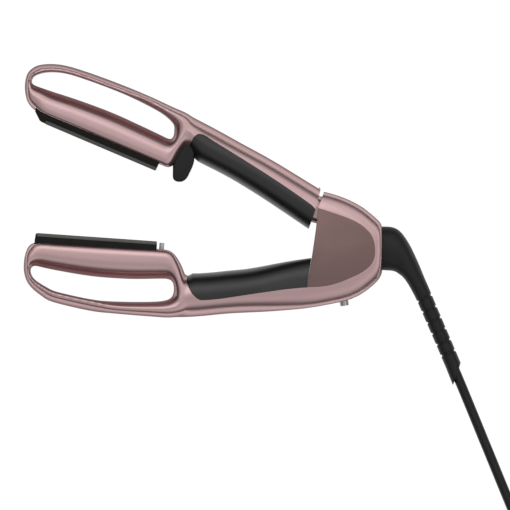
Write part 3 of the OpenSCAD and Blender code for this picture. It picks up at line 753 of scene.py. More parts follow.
def section(top: Point, low: Point, half_w: float, rounds: Point, depths: Point) -> list[Point3]:
    """Rounded section of an arm from top to low in the XY plane, half_w to each side in Z.

    Args:
        top: One end of the section in the XY plane.
        low: The other end.
        half_w: Half of its width in Z.
        rounds: Roundings at the top and at the low end, in the XY plane.
        depths: How deep the two are in Z.

    Returns:
        The points of the section, in order.
    """
    height = math.dist(top, low)
    ux, uy = (low[0] - top[0]) / height, (low[1] - top[1]) / height
    (rt, rb), (dt, db) = rounds, depths
    flat_points = []
    for corner in range(4):
        for k in range(CORNER_STEPS + 1):
            turn = math.pi / 2 * k / CORNER_STEPS
            s, r = math.sin(turn), math.cos(turn)
            flat_points.append((
                (rt * (1 - r), half_w - dt * (1 - s)),
                (height - rb * (1 - s), half_w - db * (1 - r)),
                (height - rb * (1 - r), -half_w + db * (1 - s)),
                (rt * (1 - s), -half_w + dt * (1 - r)))[corner])
    return [(top[0] + ux * q, top[1] + uy * q, SIZES.mid + z) for q, z in flat_points]


def barrel(top: Point, low: Point, half_w: float, rounds: Point, depth: float) -> list[Point3]:
    """Section whose two roundings are equally deep, limited by the section's own size.

    Args:
        top: One end of the section in the XY plane.
        low: The other end.
        half_w: Half of its width in Z.
        rounds: Roundings at the top and at the low end.
        depth: How deep both are in Z.

    Returns:
        The points of the section, in order.
    """
    most = math.dist(top, low) * ROUND_SHARE
    deep = min(depth, half_w - SIDE_FLAT)
    return section(top, low, half_w, (min(rounds[0], most), min(rounds[1], most)), (deep, deep))


def across(outline: Sequence[Point]) -> Clay:
    """Cutter with this outline, right through the width."""
    return Clay().prism(outline, -OVER, SIZES.body_w + OVER)


# Forms of a loop's section: shares of its height for the outer and the window's rounding, and depths
RAIL: Form = (0.2, 0.48, 5, 15)
TIP: Form = (0.45, 0.4, 8, 11)
BAR: Form = (0.8, 0.15, 14, 4)
ROOT: Form = (0.5, 0.4, 11, 11)

# Heads: share of the head's length, dx outer, depth outer, dx window, depth window, form
LOWER_ROWS: list[Row] = [
    (0, -2, 0, -4, 21.3, RAIL), (0.2, 0, 0.2, 0, 23, RAIL), (0.5, 0, 0.5, 0, 23, RAIL),
    (0.8, 0, 0.8, -1, 20.6, RAIL), (1, -3, 1.2, -6, 18.8, RAIL), (1, 2.4, 4, -2.4, 18.2, TIP),
    (1, 4.7, 9.4, 0, 19.3, TIP), (1, 5.6, 17, 0.8, 21.8, BAR), (1, 4.6, 25, -0.2, 25, BAR),
    (1, 0.4, 32.8, -3.8, 28.9, BAR), (1, -9, 39.8, -12.5, 33.4, BAR), (0.8, 0, 43.6, -1.7, 35.9, BAR),
    (0.5, 0, 47.9, 0, 39.6, BAR), (0.3, 0, 48.6, 0, 39.9, ROOT), (0, 2, 48.9, 2, 38.4, ROOT),
    (0, -16, 48.35, -9, 36.6, ROOT), (0, -28, 43, -13.6, 33.7, ROOT), (0, -28, 31.2, -14.5, 29.4, ROOT),
    (0, -22.8, 19.5, -14.3, 26.2, ROOT), (0, -17.6, 8.8, -12.9, 22.4, TIP), (0, -10.9, 1.3, -9.4, 21.1, RAIL)]
UPPER_ROWS: list[Row] = [
    (0, -2, 0, 3, 19.4, RAIL), (0.2, 0, 0, 0, 20.1, RAIL), (0.5, 0, 0, 0, 20.8, RAIL),
    (0.8, 0, 0, -1, 19.7, RAIL),
    (1, 1, 0, 0, 18.1, RAIL), (1, 9, 0.8, 9, 17.4, TIP), (1, 15.6, 4.6, 15.6, 17.1, TIP),
    (1, 20.6, 11.8, 18.4, 18.2, BAR), (1, 23, 19.1, 19, 21.2, BAR), (1, 22.8, 25.2, 17, 24.6, BAR),
    (1, 17.4, 32.2, 10.5, 29.4, BAR), (1, 3.5, 38.2, -1, 33.5, BAR), (0.8, 2, 40.7, 1, 35.3, BAR),
    (0.5, 3, 42, 2, 36.4, BAR), (0.3, 0, 42.2, 1, 35.8, ROOT), (0.1, 0, 41.6, 2, 34, ROOT),
    (0, -10, 40.3, 1.3, 30.5, ROOT), (0, -17, 29.8, -0.7, 27.2, ROOT), (0, -13.6, 20, -2.2, 23, ROOT),
    (0, -11.5, 11.2, -2.3, 20.7, ROOT), (0, -10.5, 4, -1, 19.4, TIP), (0, -7.2, 0.2, 0.8, 19.2, RAIL)]
# Sections from each row of a head to the next
HEAD_STEPS = 4


def head_form(rows: Sequence[Row], reach: float, rail: float, out: int) -> Clay:
    """Looped head as one closed ring.

    Args:
        rows: Rows of the head.
        reach: Hinge axis to the near end of the plate.
        rail: Level of the rail.
        out: Which way the depth counts, 1 or -1.

    Returns:
        The head.
    """
    outer, window = (
        through([(-(reach + r[0] * SIZES.head_l + r[k]), rail + out * r[k + 1]) for r in rows],
                HEAD_STEPS, True)
        for k in (1, 3))
    forms = through([r[5] for r in rows], HEAD_STEPS, True)
    rings = []
    for o, w, form in zip(outer, window, forms):
        height = math.dist(o, w)
        rings.append(section(o, w, SIZES.mid, (height * form[0], height * form[1]), form[2:]))
    return Clay().loft(rings, True)


# Plates

# Nose of each carrier beyond the plate's far end: length of its edge, and its slant down to the rail
LOWER_NOSE: Point = (0.6, 0.5)
UPPER_NOSE: Point = (3.6, 6.2)
NOSE_GAP = 0.1
# Room round a carrier in its rail, and how far its pocket stands out towards the plate
PLAY = 0.3
POCKET_RISE = 4.0


def rail_pocket(nose: Point) -> Clay:
    """Pocket of a rail for a carrier.

    Args:
        nose: Length of the carrier's nose and of its slant.

    Returns:
        The cutter, in the plate's frame.
    """
    half = SIZES.carrier_half + PLAY
    far_end = SIZES.plate_l + NOSE_GAP + nose[0] + nose[1] + PLAY
    return Clay().box((-PLAY, -POCKET_RISE, -half), (far_end, SIZES.carrier_d, half))


@dataclass
class Plates:
    """Plate carrier and heated plate of each head, drawn in the plate's frame."""

    bevel: float = 0.8
    bevel_steps: int = 4
    box_edge: float = 0.5
    lap: float = 0.3
    nose_drop: float = 0.3
    nose_bend: float = 20.0
    # Largest share of the nose's edge that its bevel takes
    nose_share: float = 0.9
    tray_end: float = 3.0
    tray_over: float = 1.0

    def carrier(self, stand: float, nose: Point) -> Clay:
        """Tray that holds the plate, with a nose beyond the plate's far end.

        Args:
            stand: Height of the plate above the rail.
            nose: Length of the nose's edge, and of its slant down to the rail.

        Returns:
            The carrier.
        """
        half = SIZES.carrier_half
        tray = SIZES.plate_w / 2 - SIZES.plate_ledge
        floor = SIZES.carrier_d - SIZES.carrier_wall
        x0 = SIZES.plate_l + NOSE_GAP
        x1 = x0 + nose[0]
        x2 = x1 + nose[1]
        body = Clay().box((0, SIZES.plate_t, -half), (x0 + self.lap, SIZES.carrier_d, half))
        tip = Clay().prism([(x0, self.nose_drop), (x1, self.nose_drop), (x2, stand), (x2, SIZES.carrier_d),
                            (x0, SIZES.carrier_d)], -half, half)
        tip.soften(min(self.bevel, nose[0] * self.nose_share), self.bevel_steps, self.nose_bend,
                   where=lambda e: max(v.co.x for v in e.verts) > x0 + NEAR)
        body = carved(body.soften(self.box_edge), [tip], Carving.ADD)
        return carved(body, [Clay().box((self.tray_end, SIZES.plate_t - self.tray_over, -tray),
                                        (SIZES.plate_l - self.tray_end, floor, tray))])

    def plate(self) -> Clay:
        """Heated plate with its rounded edges.

        Returns:
            The plate.
        """
        half = SIZES.plate_w / 2
        body = Clay().box((0, 0, -half), (SIZES.plate_l, SIZES.plate_t, half))
        return body.soften(self.bevel, self.bevel_steps, where=lambda e: all(v.co.y < NEAR for v in e.verts))

    def dress(self, shop: Workshop) -> None:
        """Builds and dresses both heads' pieces.

        Args:
            shop: The workshop.
        """
        for side, place, stand, nose in (("lower", SIZES.on_lower_head, SIZES.lower_stand, LOWER_NOSE),
                                         ("upper", SIZES.on_upper_head, SIZES.upper_stand, UPPER_NOSE)):
            shop.fit(self.carrier(stand, nose).move(place).piece(side + "_carrier"), side + "_arm",
                     "carrier_resin", [side + "_plate_carrier"])
            shop.fit(self.plate().move(place).piece(side + "_hot_plate"), side + "_arm", "plate_coating",
                     [side + "_plate"])


# Arms


@dataclass
class Arm:
    """What both arms share in kind: the contours of the handle, and how its grip is cut."""

    inner: list[Point]
    seam: list[Point]
    back: list[Point]
    # 1 where the inner side lies above the back, or -1
    up: int
    grip_start: float
    hollow_start: float
    grip_end: float = -31.0
    hollow_end: float = -20.0
    grip_round: float = 14.0
    back_round: float = 14.0
    sections: int = 22

    def stations(self, x0: float, x1: float) -> list[float]:
        """Places of the sections between x0 and x1."""
        return [x0 + (x1 - x0) * i / self.sections for i in range(self.sections + 1)]

    def back_round_at(self, x: float) -> float:
        """Rounding of the back at x."""
        return self.back_round

    def depth_at(self, x: float) -> float:
        """How deep the roundings are in Z at x."""
        return SIZES.edge_z

    def handle_form(self, x0: float, x1: float, g: float = 0.0) -> Clay:
        """Handle between two places.

        Args:
            x0: Where it begins.
            x1: Where it ends.
            g: How far it is drawn in.

        Returns:
            The closed form.
        """
        return Clay().loft([
            barrel((x, lookup(x, self.inner) - self.up * g), (x, lookup(x, self.back) + self.up * g),
                   SIZES.mid - g, (self.grip_round - g, self.back_round_at(x) - g), self.depth_at(x) - g)
            for x in self.stations(x0, x1)])

    def grip_zone(self) -> list[Point]:
        """Outline within which the grip lies."""
        raise NotImplementedError

    def grip(self) -> Clay:
        """Soft grip on the inner side of the handle, hollow behind its skin.

        Returns:
            The grip.
        """
        body = carved(self.handle_form(self.grip_start, self.grip_end, SIZES.grip_inset),
                      [across(self.grip_zone())], Carving.KEEP)
        return carved(body, [self.handle_form(self.hollow_start, self.hollow_end,
                                              SIZES.grip_inset + SIZES.grip_wall)])


@dataclass
class LowerArm(Arm):
    """Lower arm: looped head, rail, handle and hinge housing in one moulding, with its fittings."""

    inner: list[Point] = field(default_factory=lambda: through([
        (-133, -48), (-127, -46.6), (-122.7, -45.6), (-120.5, -42.4), (-114, -41.7), (-104, -40.3),
        (-92.6, -38.3), (-81, -36.4), (-69.8, -33.8), (-58.5, -30.8), (-47, -27.9), (-35.7, -25.4),
        (-27, -23.6)]))
    seam: list[Point] = field(default_factory=lambda: through([
        (-121.5, -49.6), (-117.6, -56.4), (-112.6, -60.6), (-108, -61), (-97, -59.3), (-85.5, -56.8),
        (-74, -54.2), (-62.8, -51.8), (-51.4, -49.4), (-40, -47.4), (-35, -46.8)]))
    back: list[Point] = field(default_factory=lambda: through([
        (-140, -75.1), (-131, -75), (-119, -74), (-107.5, -72.4), (-96, -70.4), (-85, -68.8), (-62, -66.1),
        (-39, -62.6), (-27.5, -60.2), (-16, -57.2), (-5, -53.9), (1, -51)]))
    up: int = 1
    handle_start: float = -127.0
    grip_start: float = -121.9
    hollow_start: float = -117.0
    mouth: list[Point] = field(default_factory=lambda: [
        (-35, -47.6), (-33, -24.7), (-31.4, -3.6), (-31, 10.8), (-27.2, 24)])
    grip_mouth: list[Point] = field(default_factory=lambda: [(-35.2, -46.8), (-33.3, -24.7), (-31.6, 0)])
    rear_top: Point = (15.85, 0.9)
    rear_low: Point = (18.15, -32.2)
    housing_start: float = -36.4
    housing_round: float = 13.0
    housing_low_round: float = 15.0
    housing_depth: float = 8.5
    # Where the handle's roundings begin and end their change to the housing's
    change: Point = (-74.0, -30.0)
    # Length over which a drawn-in skin moves forwards before the rear face
    rear_fade: float = 26.0
    # First rows of the housing: x and y of the top, and x of the low end, which lies on the back
    shoulder: list[Point3] = field(default_factory=lambda: [
        (-36, 23.9, -36), (-27.6, 22.8, -27.6), (-21.7, 21.7, -21.7), (-15.9, 20.3, -15.9),
        (-9.9, 18.4, -9.6), (-4, 16, -3.4)])
    # Its last rows: top, low end and how far the sides draw in
    rear: list[tuple[Point, Point, float]] = field(default_factory=lambda: [
        ((2, 12.9), (3, -49.8), 0.0), ((7, 9.4), (8.4, -45.6), 0.0), ((11, 6.4), (12.8, -41.4), 0.0),
        ((13.6, 4.3), (15.8, -37.9), 0.0), ((15, 2.6), (17.4, -35.1), 0.9)])
    rear_draw: float = 3.0
    # How far down the rear face the lead leaves it, and the hole for the relief's neck
    lead_share: float = 0.477
    neck_hole: Point = (-12.0, 4.0)
    cover_edge: list[Point] = field(default_factory=lambda: [
        (-30.7, 10.6), (-26.2, 9.6), (-19.4, 7.8), (-12.9, 6.1), (-6.5, 4.1), (-0.6, 1.5), (4.2, -1.7),
        (8, -5.5), (10.6, -10.7), (11.8, -16.3), (11.6, -22.4), (9, -28.1), (2.9, -33.6), (-4.5, -37.8),
        (-12, -41.5), (-18.9, -44), (-26.1, -45.6), (-34.9, -46.6)])
    cover_bevel: float = 0.55
    recess_run: float = 2.0
    pegs: tuple[Point, ...] = ((-24, -30), (-2, -24))
    peg_r: float = 1.4
    peg_gap: float = 0.2
    knuckle_room: float = 0.5
    cheek_room: float = 0.1
    button_at: Point = (-7.8, -54.9)
    button_turn: float = 13.0
    button_room: float = 0.3
    button_cut: float = 6.0
    button_bevel: float = 0.6
    flange_gap: float = 1.1
    flange_t: float = 1.0
    flange_rim: float = 1.2
    stem_l: float = 1.7
    fine: int = 64
    stop_r: float = 1.8
    stop_seat: float = 1.0
    stop_rise: float = 0.2
    stop_bevel: float = 0.5

    @property
    def housing_rows(self) -> list[tuple[Point, Point, float]]:
        """Rows of the housing: top, low end and how far its sides draw in."""
        rows = [((x, y), (low_x, lookup(low_x, self.back)), 0.0) for x, y, low_x in self.shoulder]
        return rows + self.rear + [(self.rear_top, self.rear_low, self.rear_draw)]

    @property
    def on_rear(self) -> Matrix:
        """Frame of the housing's rear face, where the lead leaves it.

        Returns:
            The frame, with x away from the housing.
        """
        turn = math.atan2(self.rear_low[0] - self.rear_top[0], self.rear_top[1] - self.rear_low[1])
        at = [a + (b - a) * self.lead_share for a, b in zip(self.rear_top, self.rear_low)]
        return Matrix.Translation((*at, SIZES.mid)) @ Matrix.Rotation(turn, 4, "Z")

    @property
    def on_button(self) -> Matrix:
        """Frame of the button."""
        return (Matrix.Translation((*self.button_at, SIZES.mid))
                @ Matrix.Rotation(math.radians(self.button_turn), 4, "Z"))

    def body_form(self, x0: float, g: float = 0.0, side_g: float = 0.0) -> Clay:
        """Handle and housing as one skin.

        Args:
            x0: Where it begins.
            g: How far it is drawn in all round.
            side_g: How far the housing's sides are drawn in.

        Returns:
            The closed skin.
        """
        rows = [((x, lookup(x, self.inner)), (x, lookup(x, self.back)), 0.0)
                for x in self.stations(x0, self.housing_start)] + self.housing_rows
        rings = []
        for top, low, draw in rows:
            height = math.dist(top, low)
            ux, uy = (low[0] - top[0]) / height, (low[1] - top[1]) / height
            back = g * max(0.0, 1 - (self.rear_top[0] - top[0]) / self.rear_fade)
            housing = top[0] > self.housing_start
            side = max(g, side_g) if housing else g
            top_round = self.housing_round if housing else self.grip_round
            rings.append(barrel(
                (top[0] + ux * g - back, top[1] + uy * g), (low[0] - ux * g - back, low[1] - uy * g),
                SIZES.mid - draw - side, (top_round - g, self.back_round_at(top[0]) - g),
                self.depth_at(top[0]) - g))
        return Clay().loft(rings)

    def back_round_at(self, x: float) -> float:
        """Rounding of the back at x."""
        return lookup(x, [(self.change[0], self.back_round), (self.change[1], self.housing_low_round)])

    def depth_at(self, x: float) -> float:
        """How deep the roundings are in Z at x: less on the housing, which is flatter."""
        return lookup(x, [(self.change[0], SIZES.edge_z), (self.change[1], self.housing_depth)])

    def shell_zone(self) -> list[Point]:
        """Outline of all that lies on the plate's side of the seam and the mouth."""
        return [(self.seam[0][0], FAR)] + self.seam + self.mouth[1:] + [(self.mouth[-1][0], FAR)]

    def grip_zone(self) -> list[Point]:
        """Outline within which the grip lies, as far as its own end before the housing."""
        return [(self.seam[0][0], FAR)] + self.seam[:-1] + self.grip_mouth + [(self.grip_mouth[-1][0], FAR)]

    def cover_outline(self, front_shift: float = 0.0) -> list[Point]:
        """Outline of a side cover, with its front moved by front_shift."""
        front = [self.cover_edge[-1]] + self.mouth[1:4]
        return [(x + front_shift, y) for x, y in front] + through(self.cover_edge, steps=5)

    def cover(self, inside: float, outside: float) -> Clay:
        """Side cover, inlaid in the housing, with its two pegs.

        Args:
            inside: Level of its hidden face.
            outside: Level of its face.

        Returns:
            The cover.
        """
        z0, z1 = min(inside, outside), max(inside, outside)
        plate = Clay().prism(self.cover_outline(), z0, z1)
        plate.soften(self.cover_bevel, segments=4,
                     where=lambda e: all(abs(v.co.z - outside) < NEAR for v in e.verts))
        root = inside + math.copysign(SIZES.wall - self.peg_gap, inside - outside)
        for x, y in self.pegs:
            plate.bar((x, y, inside), (x, y, root), self.peg_r)
        return plate

    def stop(self) -> Clay:
        """Soft stop beside the lower plate's near end, with its seat in the rail."""
        at = Vector((-(SIZES.lower_reach - 2 * self.stop_r), SIZES.lower_rail - self.stop_seat, SIZES.mid))
        return Clay().bar(at, at + Vector((0, SIZES.lower_stand + self.stop_rise, 0)), self.stop_r)

    def shell(self) -> Clay:
        """Moulding with its head, rail, handle and housing.

        Returns:
            The shell.
        """
        whole = melted([head_form(LOWER_ROWS, SIZES.lower_reach, SIZES.lower_rail, -1),
                        self.body_form(self.handle_start)])
        recess = self.cover_outline(-self.recess_run)
        cheek = SIZES.cheek + self.cheek_room
        cutters = [
            across(self.shell_zone()),
            self.body_form(self.hollow_start, SIZES.wall, SIZES.cheek),
            Clay().bar((0, 0, cheek), (0, 0, SIZES.body_w - cheek), SIZES.knuckle_d / 2 + self.knuckle_room),
            rail_pocket(LOWER_NOSE).move(SIZES.on_lower_head), self.stop(),
            Clay().prism(recess, -OVER, SIZES.cover_t),
            Clay().prism(recess, SIZES.body_w - SIZES.cover_t, SIZES.body_w + OVER),
            Clay().bar((0, -self.button_cut, 0), (0, self.button_cut, 0),
                       SIZES.button_d / 2 + self.button_room).move(self.on_button),
            Clay().bar((self.neck_hole[0], 0, 0), (self.neck_hole[1], 0, 0),
                       SIZES.neck_r + SIZES.neck_play).move(self.on_rear),
        ]
        return carved(whole, cutters)

    def button(self) -> Clay:
        """Power button with its stem and flange.

        Returns:
            The button.
        """
        flange = SIZES.wall + self.flange_gap
        radius = SIZES.button_d / 2
        head = Clay().bar((0, -SIZES.button_proud, 0), (0, flange + self.stem_l, 0), radius, self.fine)
        head.soften(self.button_bevel, segments=4, angle=60, where=lambda e: max(v.co.y for v in e.verts) < 0)
        head.bar((0, flange, 0), (0, flange + self.flange_t, 0), radius + self.flange_rim, self.fine)
        return head.move(self.on_button)

    def dress(self, shop: Workshop) -> None:
        """Builds and dresses the arm's pieces.

        Args:
            shop: The workshop.
        """
        shop.fit(self.shell().piece("lower_shell"), "lower_arm", "rose_shell", ["lower_arm_shell"])
        shop.fit(self.grip().piece("lower_soft_grip"), "lower_arm", "soft_grip", ["lower_grip"])
        inner_face = SIZES.body_w - SIZES.cover_t
        for side, inside, outside in (("left", inner_face, SIZES.body_w), ("right", SIZES.cover_t, 0.0)):
            shop.fit(self.cover(inside, outside).piece(side + "_inlay"), "lower_arm", "mauve_cover",
                     [side + "_side_cover"])
        shop.fit(self.button().piece("satin_button"), "power_button", "silver_button", ["power_button"])
        stop = self.stop().soften(self.stop_bevel, angle=60)
        shop.fit(stop.piece("silicone_stop"), "lower_arm", "grey_stop", ["plate_bumper"])


@dataclass
class UpperArm(Arm):
    """Upper arm: looped head, rail, handle and tang, with its grip and finger guard."""

    inner: list[Point] = field(default_factory=lambda: through([
        (-148, 6.5), (-142, 5.6), (-135, 2), (-131, -1.2), (-127, -3), (-120.6, -3.7), (-107.7, -4.5),
        (-94.6, -5.9), (-81, -7.9), (-67.7, -10.2), (-54, -12.8), (-40.3, -15.5), (-29, -17.7)]))
    seam: list[Point] = field(default_factory=lambda: through([
        (-135.4, 8), (-134.9, 12.4), (-132.6, 15.6), (-128, 16.2), (-121, 15), (-108.9, 13.2), (-95.4, 11.1),
        (-82, 8.9), (-68.3, 6.5), (-54.9, 3.9), (-41, 0.9), (-30, -1.8)]))
    back: list[Point] = field(default_factory=lambda: through([
        (-155, 25.9), (-145.2, 25.4), (-138.8, 24.9), (-125.9, 23.9), (-112.8, 22.6), (-99.7, 21.2),
        (-86.8, 20), (-73.7, 18.5), (-60, 16.5), (-46.8, 14.5), (-36, 12.9), (-28, 11.6)]))
    up: int = -1
    handle_start: float = -143.0
    grip_start: float = -135.2
    hollow_start: float = -130.5
    shell_hollow: float = -131.0
    end: list[Point] = field(default_factory=lambda: [(-36.8, 16), (-34.3, -1.4), (-33, -20)])
    # Corner beyond the handle's end, for the cutter that ends it, and its lap over the seam's cutter
    beyond: Point = (50.0, 60.0)
    end_lap: float = 1.0
    # How far before the end the seam's cutter leaves the seam
    seam_stop: float = 1.0
    tang_xs: tuple[float, ...] = (-48, -40, -33, -24, -14, -5)
    tang_half: float = 12.0
    tang_mouth: Point3 = (-33.0, -11.0, 8.6)
    tang_rounds: Point = (6.0, 8.0)
    tang_depth: float = 8.0
    tang_lap: float = 2.0
    bore_r: float = 3.25
    spring_half: float = 5.0
    spring_room: float = 2.5
    lip_x: Point = (-38.0, -36.8)
    lip_y: Point = (11.0, 20.0)
    lip_half: float = 7.0
    lip_rise: float = 0.9
    lip_form: Point = (-38.4, -35.4)
    guard_line: list[Point] = field(default_factory=lambda: [
        (-141.4, -10), (-139.4, -16.4), (-137.3, -21), (-134.9, -22.1), (-132.3, -21.6), (-129.9, -20),
        (-128.3, -17), (-127.9, -12.4), (-127.8, -6.9), (-128.6, -2.6), (-131, 3), (-136, 6.5), (-140.4, 2)])
    guard_half: float = 13.0
    guard_bevel: float = 1.6
    guard_reach: float = -100.0

    def grip_zone(self) -> list[Point]:
        """Outline of all that lies on the plate's side of the seam."""
        seam = [p for p in self.seam if p[0] < self.end[1][0] - self.seam_stop]
        return [(self.seam[0][0], -FAR)] + seam + [self.end[1], self.end[2], (self.end[2][0], -FAR)]

    def head(self) -> Clay:
        """Looped head, closed onto the lower one."""
        return head_form(UPPER_ROWS, SIZES.upper_reach, SIZES.upper_rail, 1)

    def tang(self) -> list[Clay]:
        """Tang that reaches into the housing, with its knuckle.

        Returns:
            The two forms.
        """
        knuckle_r = SIZES.knuckle_d / 2
        mouth_x, mouth_low, mouth_top = self.tang_mouth
        rings = []
        for x in self.tang_xs:
            low = lookup(x, [(mouth_x, mouth_low), (self.tang_xs[-1], -knuckle_r)])
            top = lookup(x, [(mouth_x, mouth_top), (self.tang_xs[-1], knuckle_r)])
            rings.append(barrel((x, low), (x, top), self.tang_half, self.tang_rounds, self.tang_depth))
        knuckle = Clay().bar((0, 0, SIZES.mid - self.tang_half), (0, 0, SIZES.mid + self.tang_half),
                             knuckle_r, LowerArm.fine)
        return [Clay().loft(rings), knuckle]

    def lip(self) -> Clay:
        """Small lip at the end of the back.

        Returns:
            The lip.
        """
        (x0, x1), (y0, y1) = self.lip_x, self.lip_y
        slab = Clay().box((x0, y0, SIZES.mid - self.lip_half), (x1, y1, SIZES.mid + self.lip_half))
        return carved(self.handle_form(*self.lip_form, -self.lip_rise), [slab], Carving.KEEP)

    def shell(self) -> Clay:
        """Moulding with its head, rail, handle and tang.

        Returns:
            The shell, closed.
        """
        whole = melted([self.head(), self.handle_form(self.handle_start, self.grip_end)])
        far_x, far_y = self.beyond
        end = [self.end[0], self.end[1], (self.end[2][0] - self.end_lap, self.end[2][1]),
               (far_x, self.end[2][1]), (far_x, far_y), (self.end[0][0], far_y)]
        hollow = self.handle_form(self.shell_hollow, self.tang_xs[0] + self.tang_lap, SIZES.wall)
        whole = carved(whole, [across(self.grip_zone()), across(end), hollow])
        whole = carved(whole, self.tang() + [self.lip()], Carving.ADD)
        bore = Clay().bar((0, 0, -OVER), (0, 0, SIZES.body_w + OVER), self.bore_r)
        slot = Clay().bar((0, 0, SIZES.mid - self.spring_half), (0, 0, SIZES.mid + self.spring_half),
                          SIZES.knuckle_d / 2 + self.spring_room)
        pocket = rail_pocket(UPPER_NOSE).move(SIZES.opened.inverted() @ SIZES.on_upper_head)
        return carved(whole, [bore, slot, pocket])

    def guard(self) -> Clay:
        """Finger guard below the strut.

        Returns:
            The guard, closed.
        """
        outline = through(self.guard_line, steps=5, loop=True)
        body = Clay().prism(outline, SIZES.mid - self.guard_half, SIZES.mid + self.guard_half)
        own_skin = self.handle_form(self.handle_start, self.seam[0][0])
        return carved(body.soften(self.guard_bevel, segments=4), [
            self.handle_form(self.handle_start, self.guard_reach, SIZES.grip_inset), own_skin, self.head()])

    def dress(self, shop: Workshop) -> None:
        """Builds the arm's pieces, opens them and dresses them.

        Args:
            shop: The workshop.
        """
        for form, name, slot, node, finish in (
                (self.shell(), "upper_shell", "rose_shell", "upper_arm_shell", None),
                (self.grip(), "upper_soft_grip", "soft_grip", "upper_grip", None),
                (self.guard(), "guard", "soft_grip", "finger_guard", HARD_BLACK)):
            shop.fit(form.move(SIZES.opened).piece(name), "upper_arm", slot, [node], finish)


# Lead


@dataclass
class Lead:
    """Mains lead: strain relief, free lead, coil, ties and plug."""

    # Middle, half height, angle of the height from X, level and half width
    foot: list[tuple[float, ...]] = field(default_factory=lambda: [
        (16.95, -14.89, 15.75, 93.97, 18, 9), (22.2, -14.8, 15.75, 90.4, 18, 9),
        (25.9, -15.4, 15.2, 87.4, 18, 8.9), (29.1, -17.1, 14.1, 84.5, 17.8, 8.7),
        (32.3, -20, 12.7, 81.5, 17.5, 8.5), (35.3, -23.4, 11.15, 78, 17, 8.2),
        (38.4, -27.9, 9.45, 72, 16.3, 7.7), (41.5, -33, 7.85, 62.5, 15.5, 7.2),
        (44.5, -38.5, 6.6, 50, 14.6, 6.4)])
    sleeve: list[tuple[float, ...]] = field(default_factory=lambda: [
        (47.8, -44.3, 5.95, 36, 13.7, 5.95), (51.2, -50.8, 5.75, 28.5, 12.6, 5.75),
        (58.3, -64.6, 5.7, 27.3, 10.4, 5.7), (65.9, -79.2, 5.65, 27.3, 8.4, 5.65),
        (72.9, -92.9, 5.65, 27.3, 6.9, 5.65), (74.3, -95.6, 5.65, 27.3, 6.7, 5.65)])
    end_cut: tuple[float, ...] = (77.1, -101.8, 8.4, 74.8, 6.2, 5.65)
    end_bevel: float = 0.5
    end_x: float = 74.5
    neck_l: float = 4.4
    ring_sides: int = 40
    # Grooves round the sleeve: depth, and the share of it above and below, where they show least
    groove_d: float = 0.8
    groove_least: float = 0.3
    groove_pitch: float = 8.6
    groove_start: float = 4.0
    # Steps along one groove, and whether the ring is cut in there
    groove_steps: tuple[tuple[float, int], ...] = ((0, 0), (0.3, 1), (1.5, 1), (1.8, 0))
    grooves: int = 6
    points: list[Point3] = field(default_factory=lambda: [
        (73.4, -94.5, 6.8), (79.6, -106.7, 5.6), (86.1, -119.7, 4.6), (92.3, -132.2, 3.9),
        (98.5, -144.8, 3.5), (104.7, -157.3, 3.5), (110.9, -169.9, 3.5), (117.1, -182.5, 3.5),
        (123.3, -195, 3.5), (129.5, -207.6, 3.6), (135, -219, 4), (138.3, -226.1, 4.5)])
    tail: list[Point3] = field(default_factory=lambda: [
        (237, -203.3, 11.5), (237.2, -195.2, 11.1), (237.8, -187.2, 10), (238.8, -179.2, 8.4),
        (239.8, -171.2, 7.1)])
    # Coil: middle, radius of the first turn, pitch, first angle, angle of a layer and of the rise
    coil_mid: Point = (185, -203.3)
    coil_radius: float = 52.0
    coil_pitch: float = 7.1
    coil_start: float = 206.0
    coil_layer: float = 1112.0
    coil_rise: float = 90.0
    coil_levels: Point = (4.5, 11.5)
    # Room of the coil's turns inside the ties: radii and levels
    coil_box: tuple[float, float, float, float] = (26.5, 55.5, 1.0, 15.0)
    turn_points: int = 24
    cable_round: int = 5
    cable_steps: int = 3
    # Angles at which the ties begin, their span and the spread of their inner cutter
    tie_starts: Point = (70.0, 250.0)
    tie_span: float = 10.0
    tie_spread: float = 3.0
    tie_round: float = 3.0
    tie_bevel: float = 0.3
    tie_steps: int = 6
    plug_turn: float = 83.0
    plug_l: float = 38.0
    # Plug body: distance from the lead, half width and half height
    plug_rows: list[Point3] = field(default_factory=lambda: [
        (0, 4.7, 4.7), (0.6, 5, 5), (2.2, 5, 5), (2.6, 4.5, 4.5), (3.6, 4.5, 4.5), (4, 5.15, 5.15),
        (5.6, 5.3, 5.3), (6, 4.7, 4.7), (7, 4.8, 4.8), (7.4, 5.75, 5.6), (12, 7.4, 6.4), (16, 9.9, 6.6),
        (20, 11.9, 6.8), (24, 12.8, 6.9), (28, 13.3, 7), (34, 13.4, 7), (36.5, 13.2, 6.8), (37.6, 12.6, 6.2),
        (38, 11.8, 5.4)])
    # Power of the rings' roundness, from round at the neck to squarer
    plug_shape: tuple[Point, ...] = ((8, 1.0), (24, 0.78))
    plug_sides: int = 48
    pin_l: float = 19.0
    pin_gap: float = 19.0
    # Pin: how deep its root sits in the plug and its radius, then distances from its tip and radii
    pin_root: Point = (0.5, 2.0)
    pin_tip: tuple[Point, ...] = ((1.6, 2.0), (0.9, 1.85), (0.3, 1.4), (0.0, 0.7))
    pin_sides: int = 24

    def coil_points(self) -> list[Point3]:
        """Middle line of the coil: inwards in the low layer and outwards in the top one.

        Returns:
            Its points.
        """
        total = 2 * self.coil_layer + self.coil_rise
        steps = round(total / 360 * self.turn_points)
        points = []
        for i in range(1, steps):
            angle = total * i / steps
            inward = min(angle, total - angle, self.coil_layer)
            rise = min(max((angle - self.coil_layer) / self.coil_rise, 0), 1)
            low, high = self.coil_levels
            level = low + (high - low) * rise * rise * (3 - 2 * rise)
            radius = self.coil_radius - self.coil_pitch * inward / 360
            turn = math.radians(self.coil_start + angle)
            points.append((self.coil_mid[0] + radius * math.cos(turn),
                           self.coil_mid[1] + radius * math.sin(turn), level))
        return points

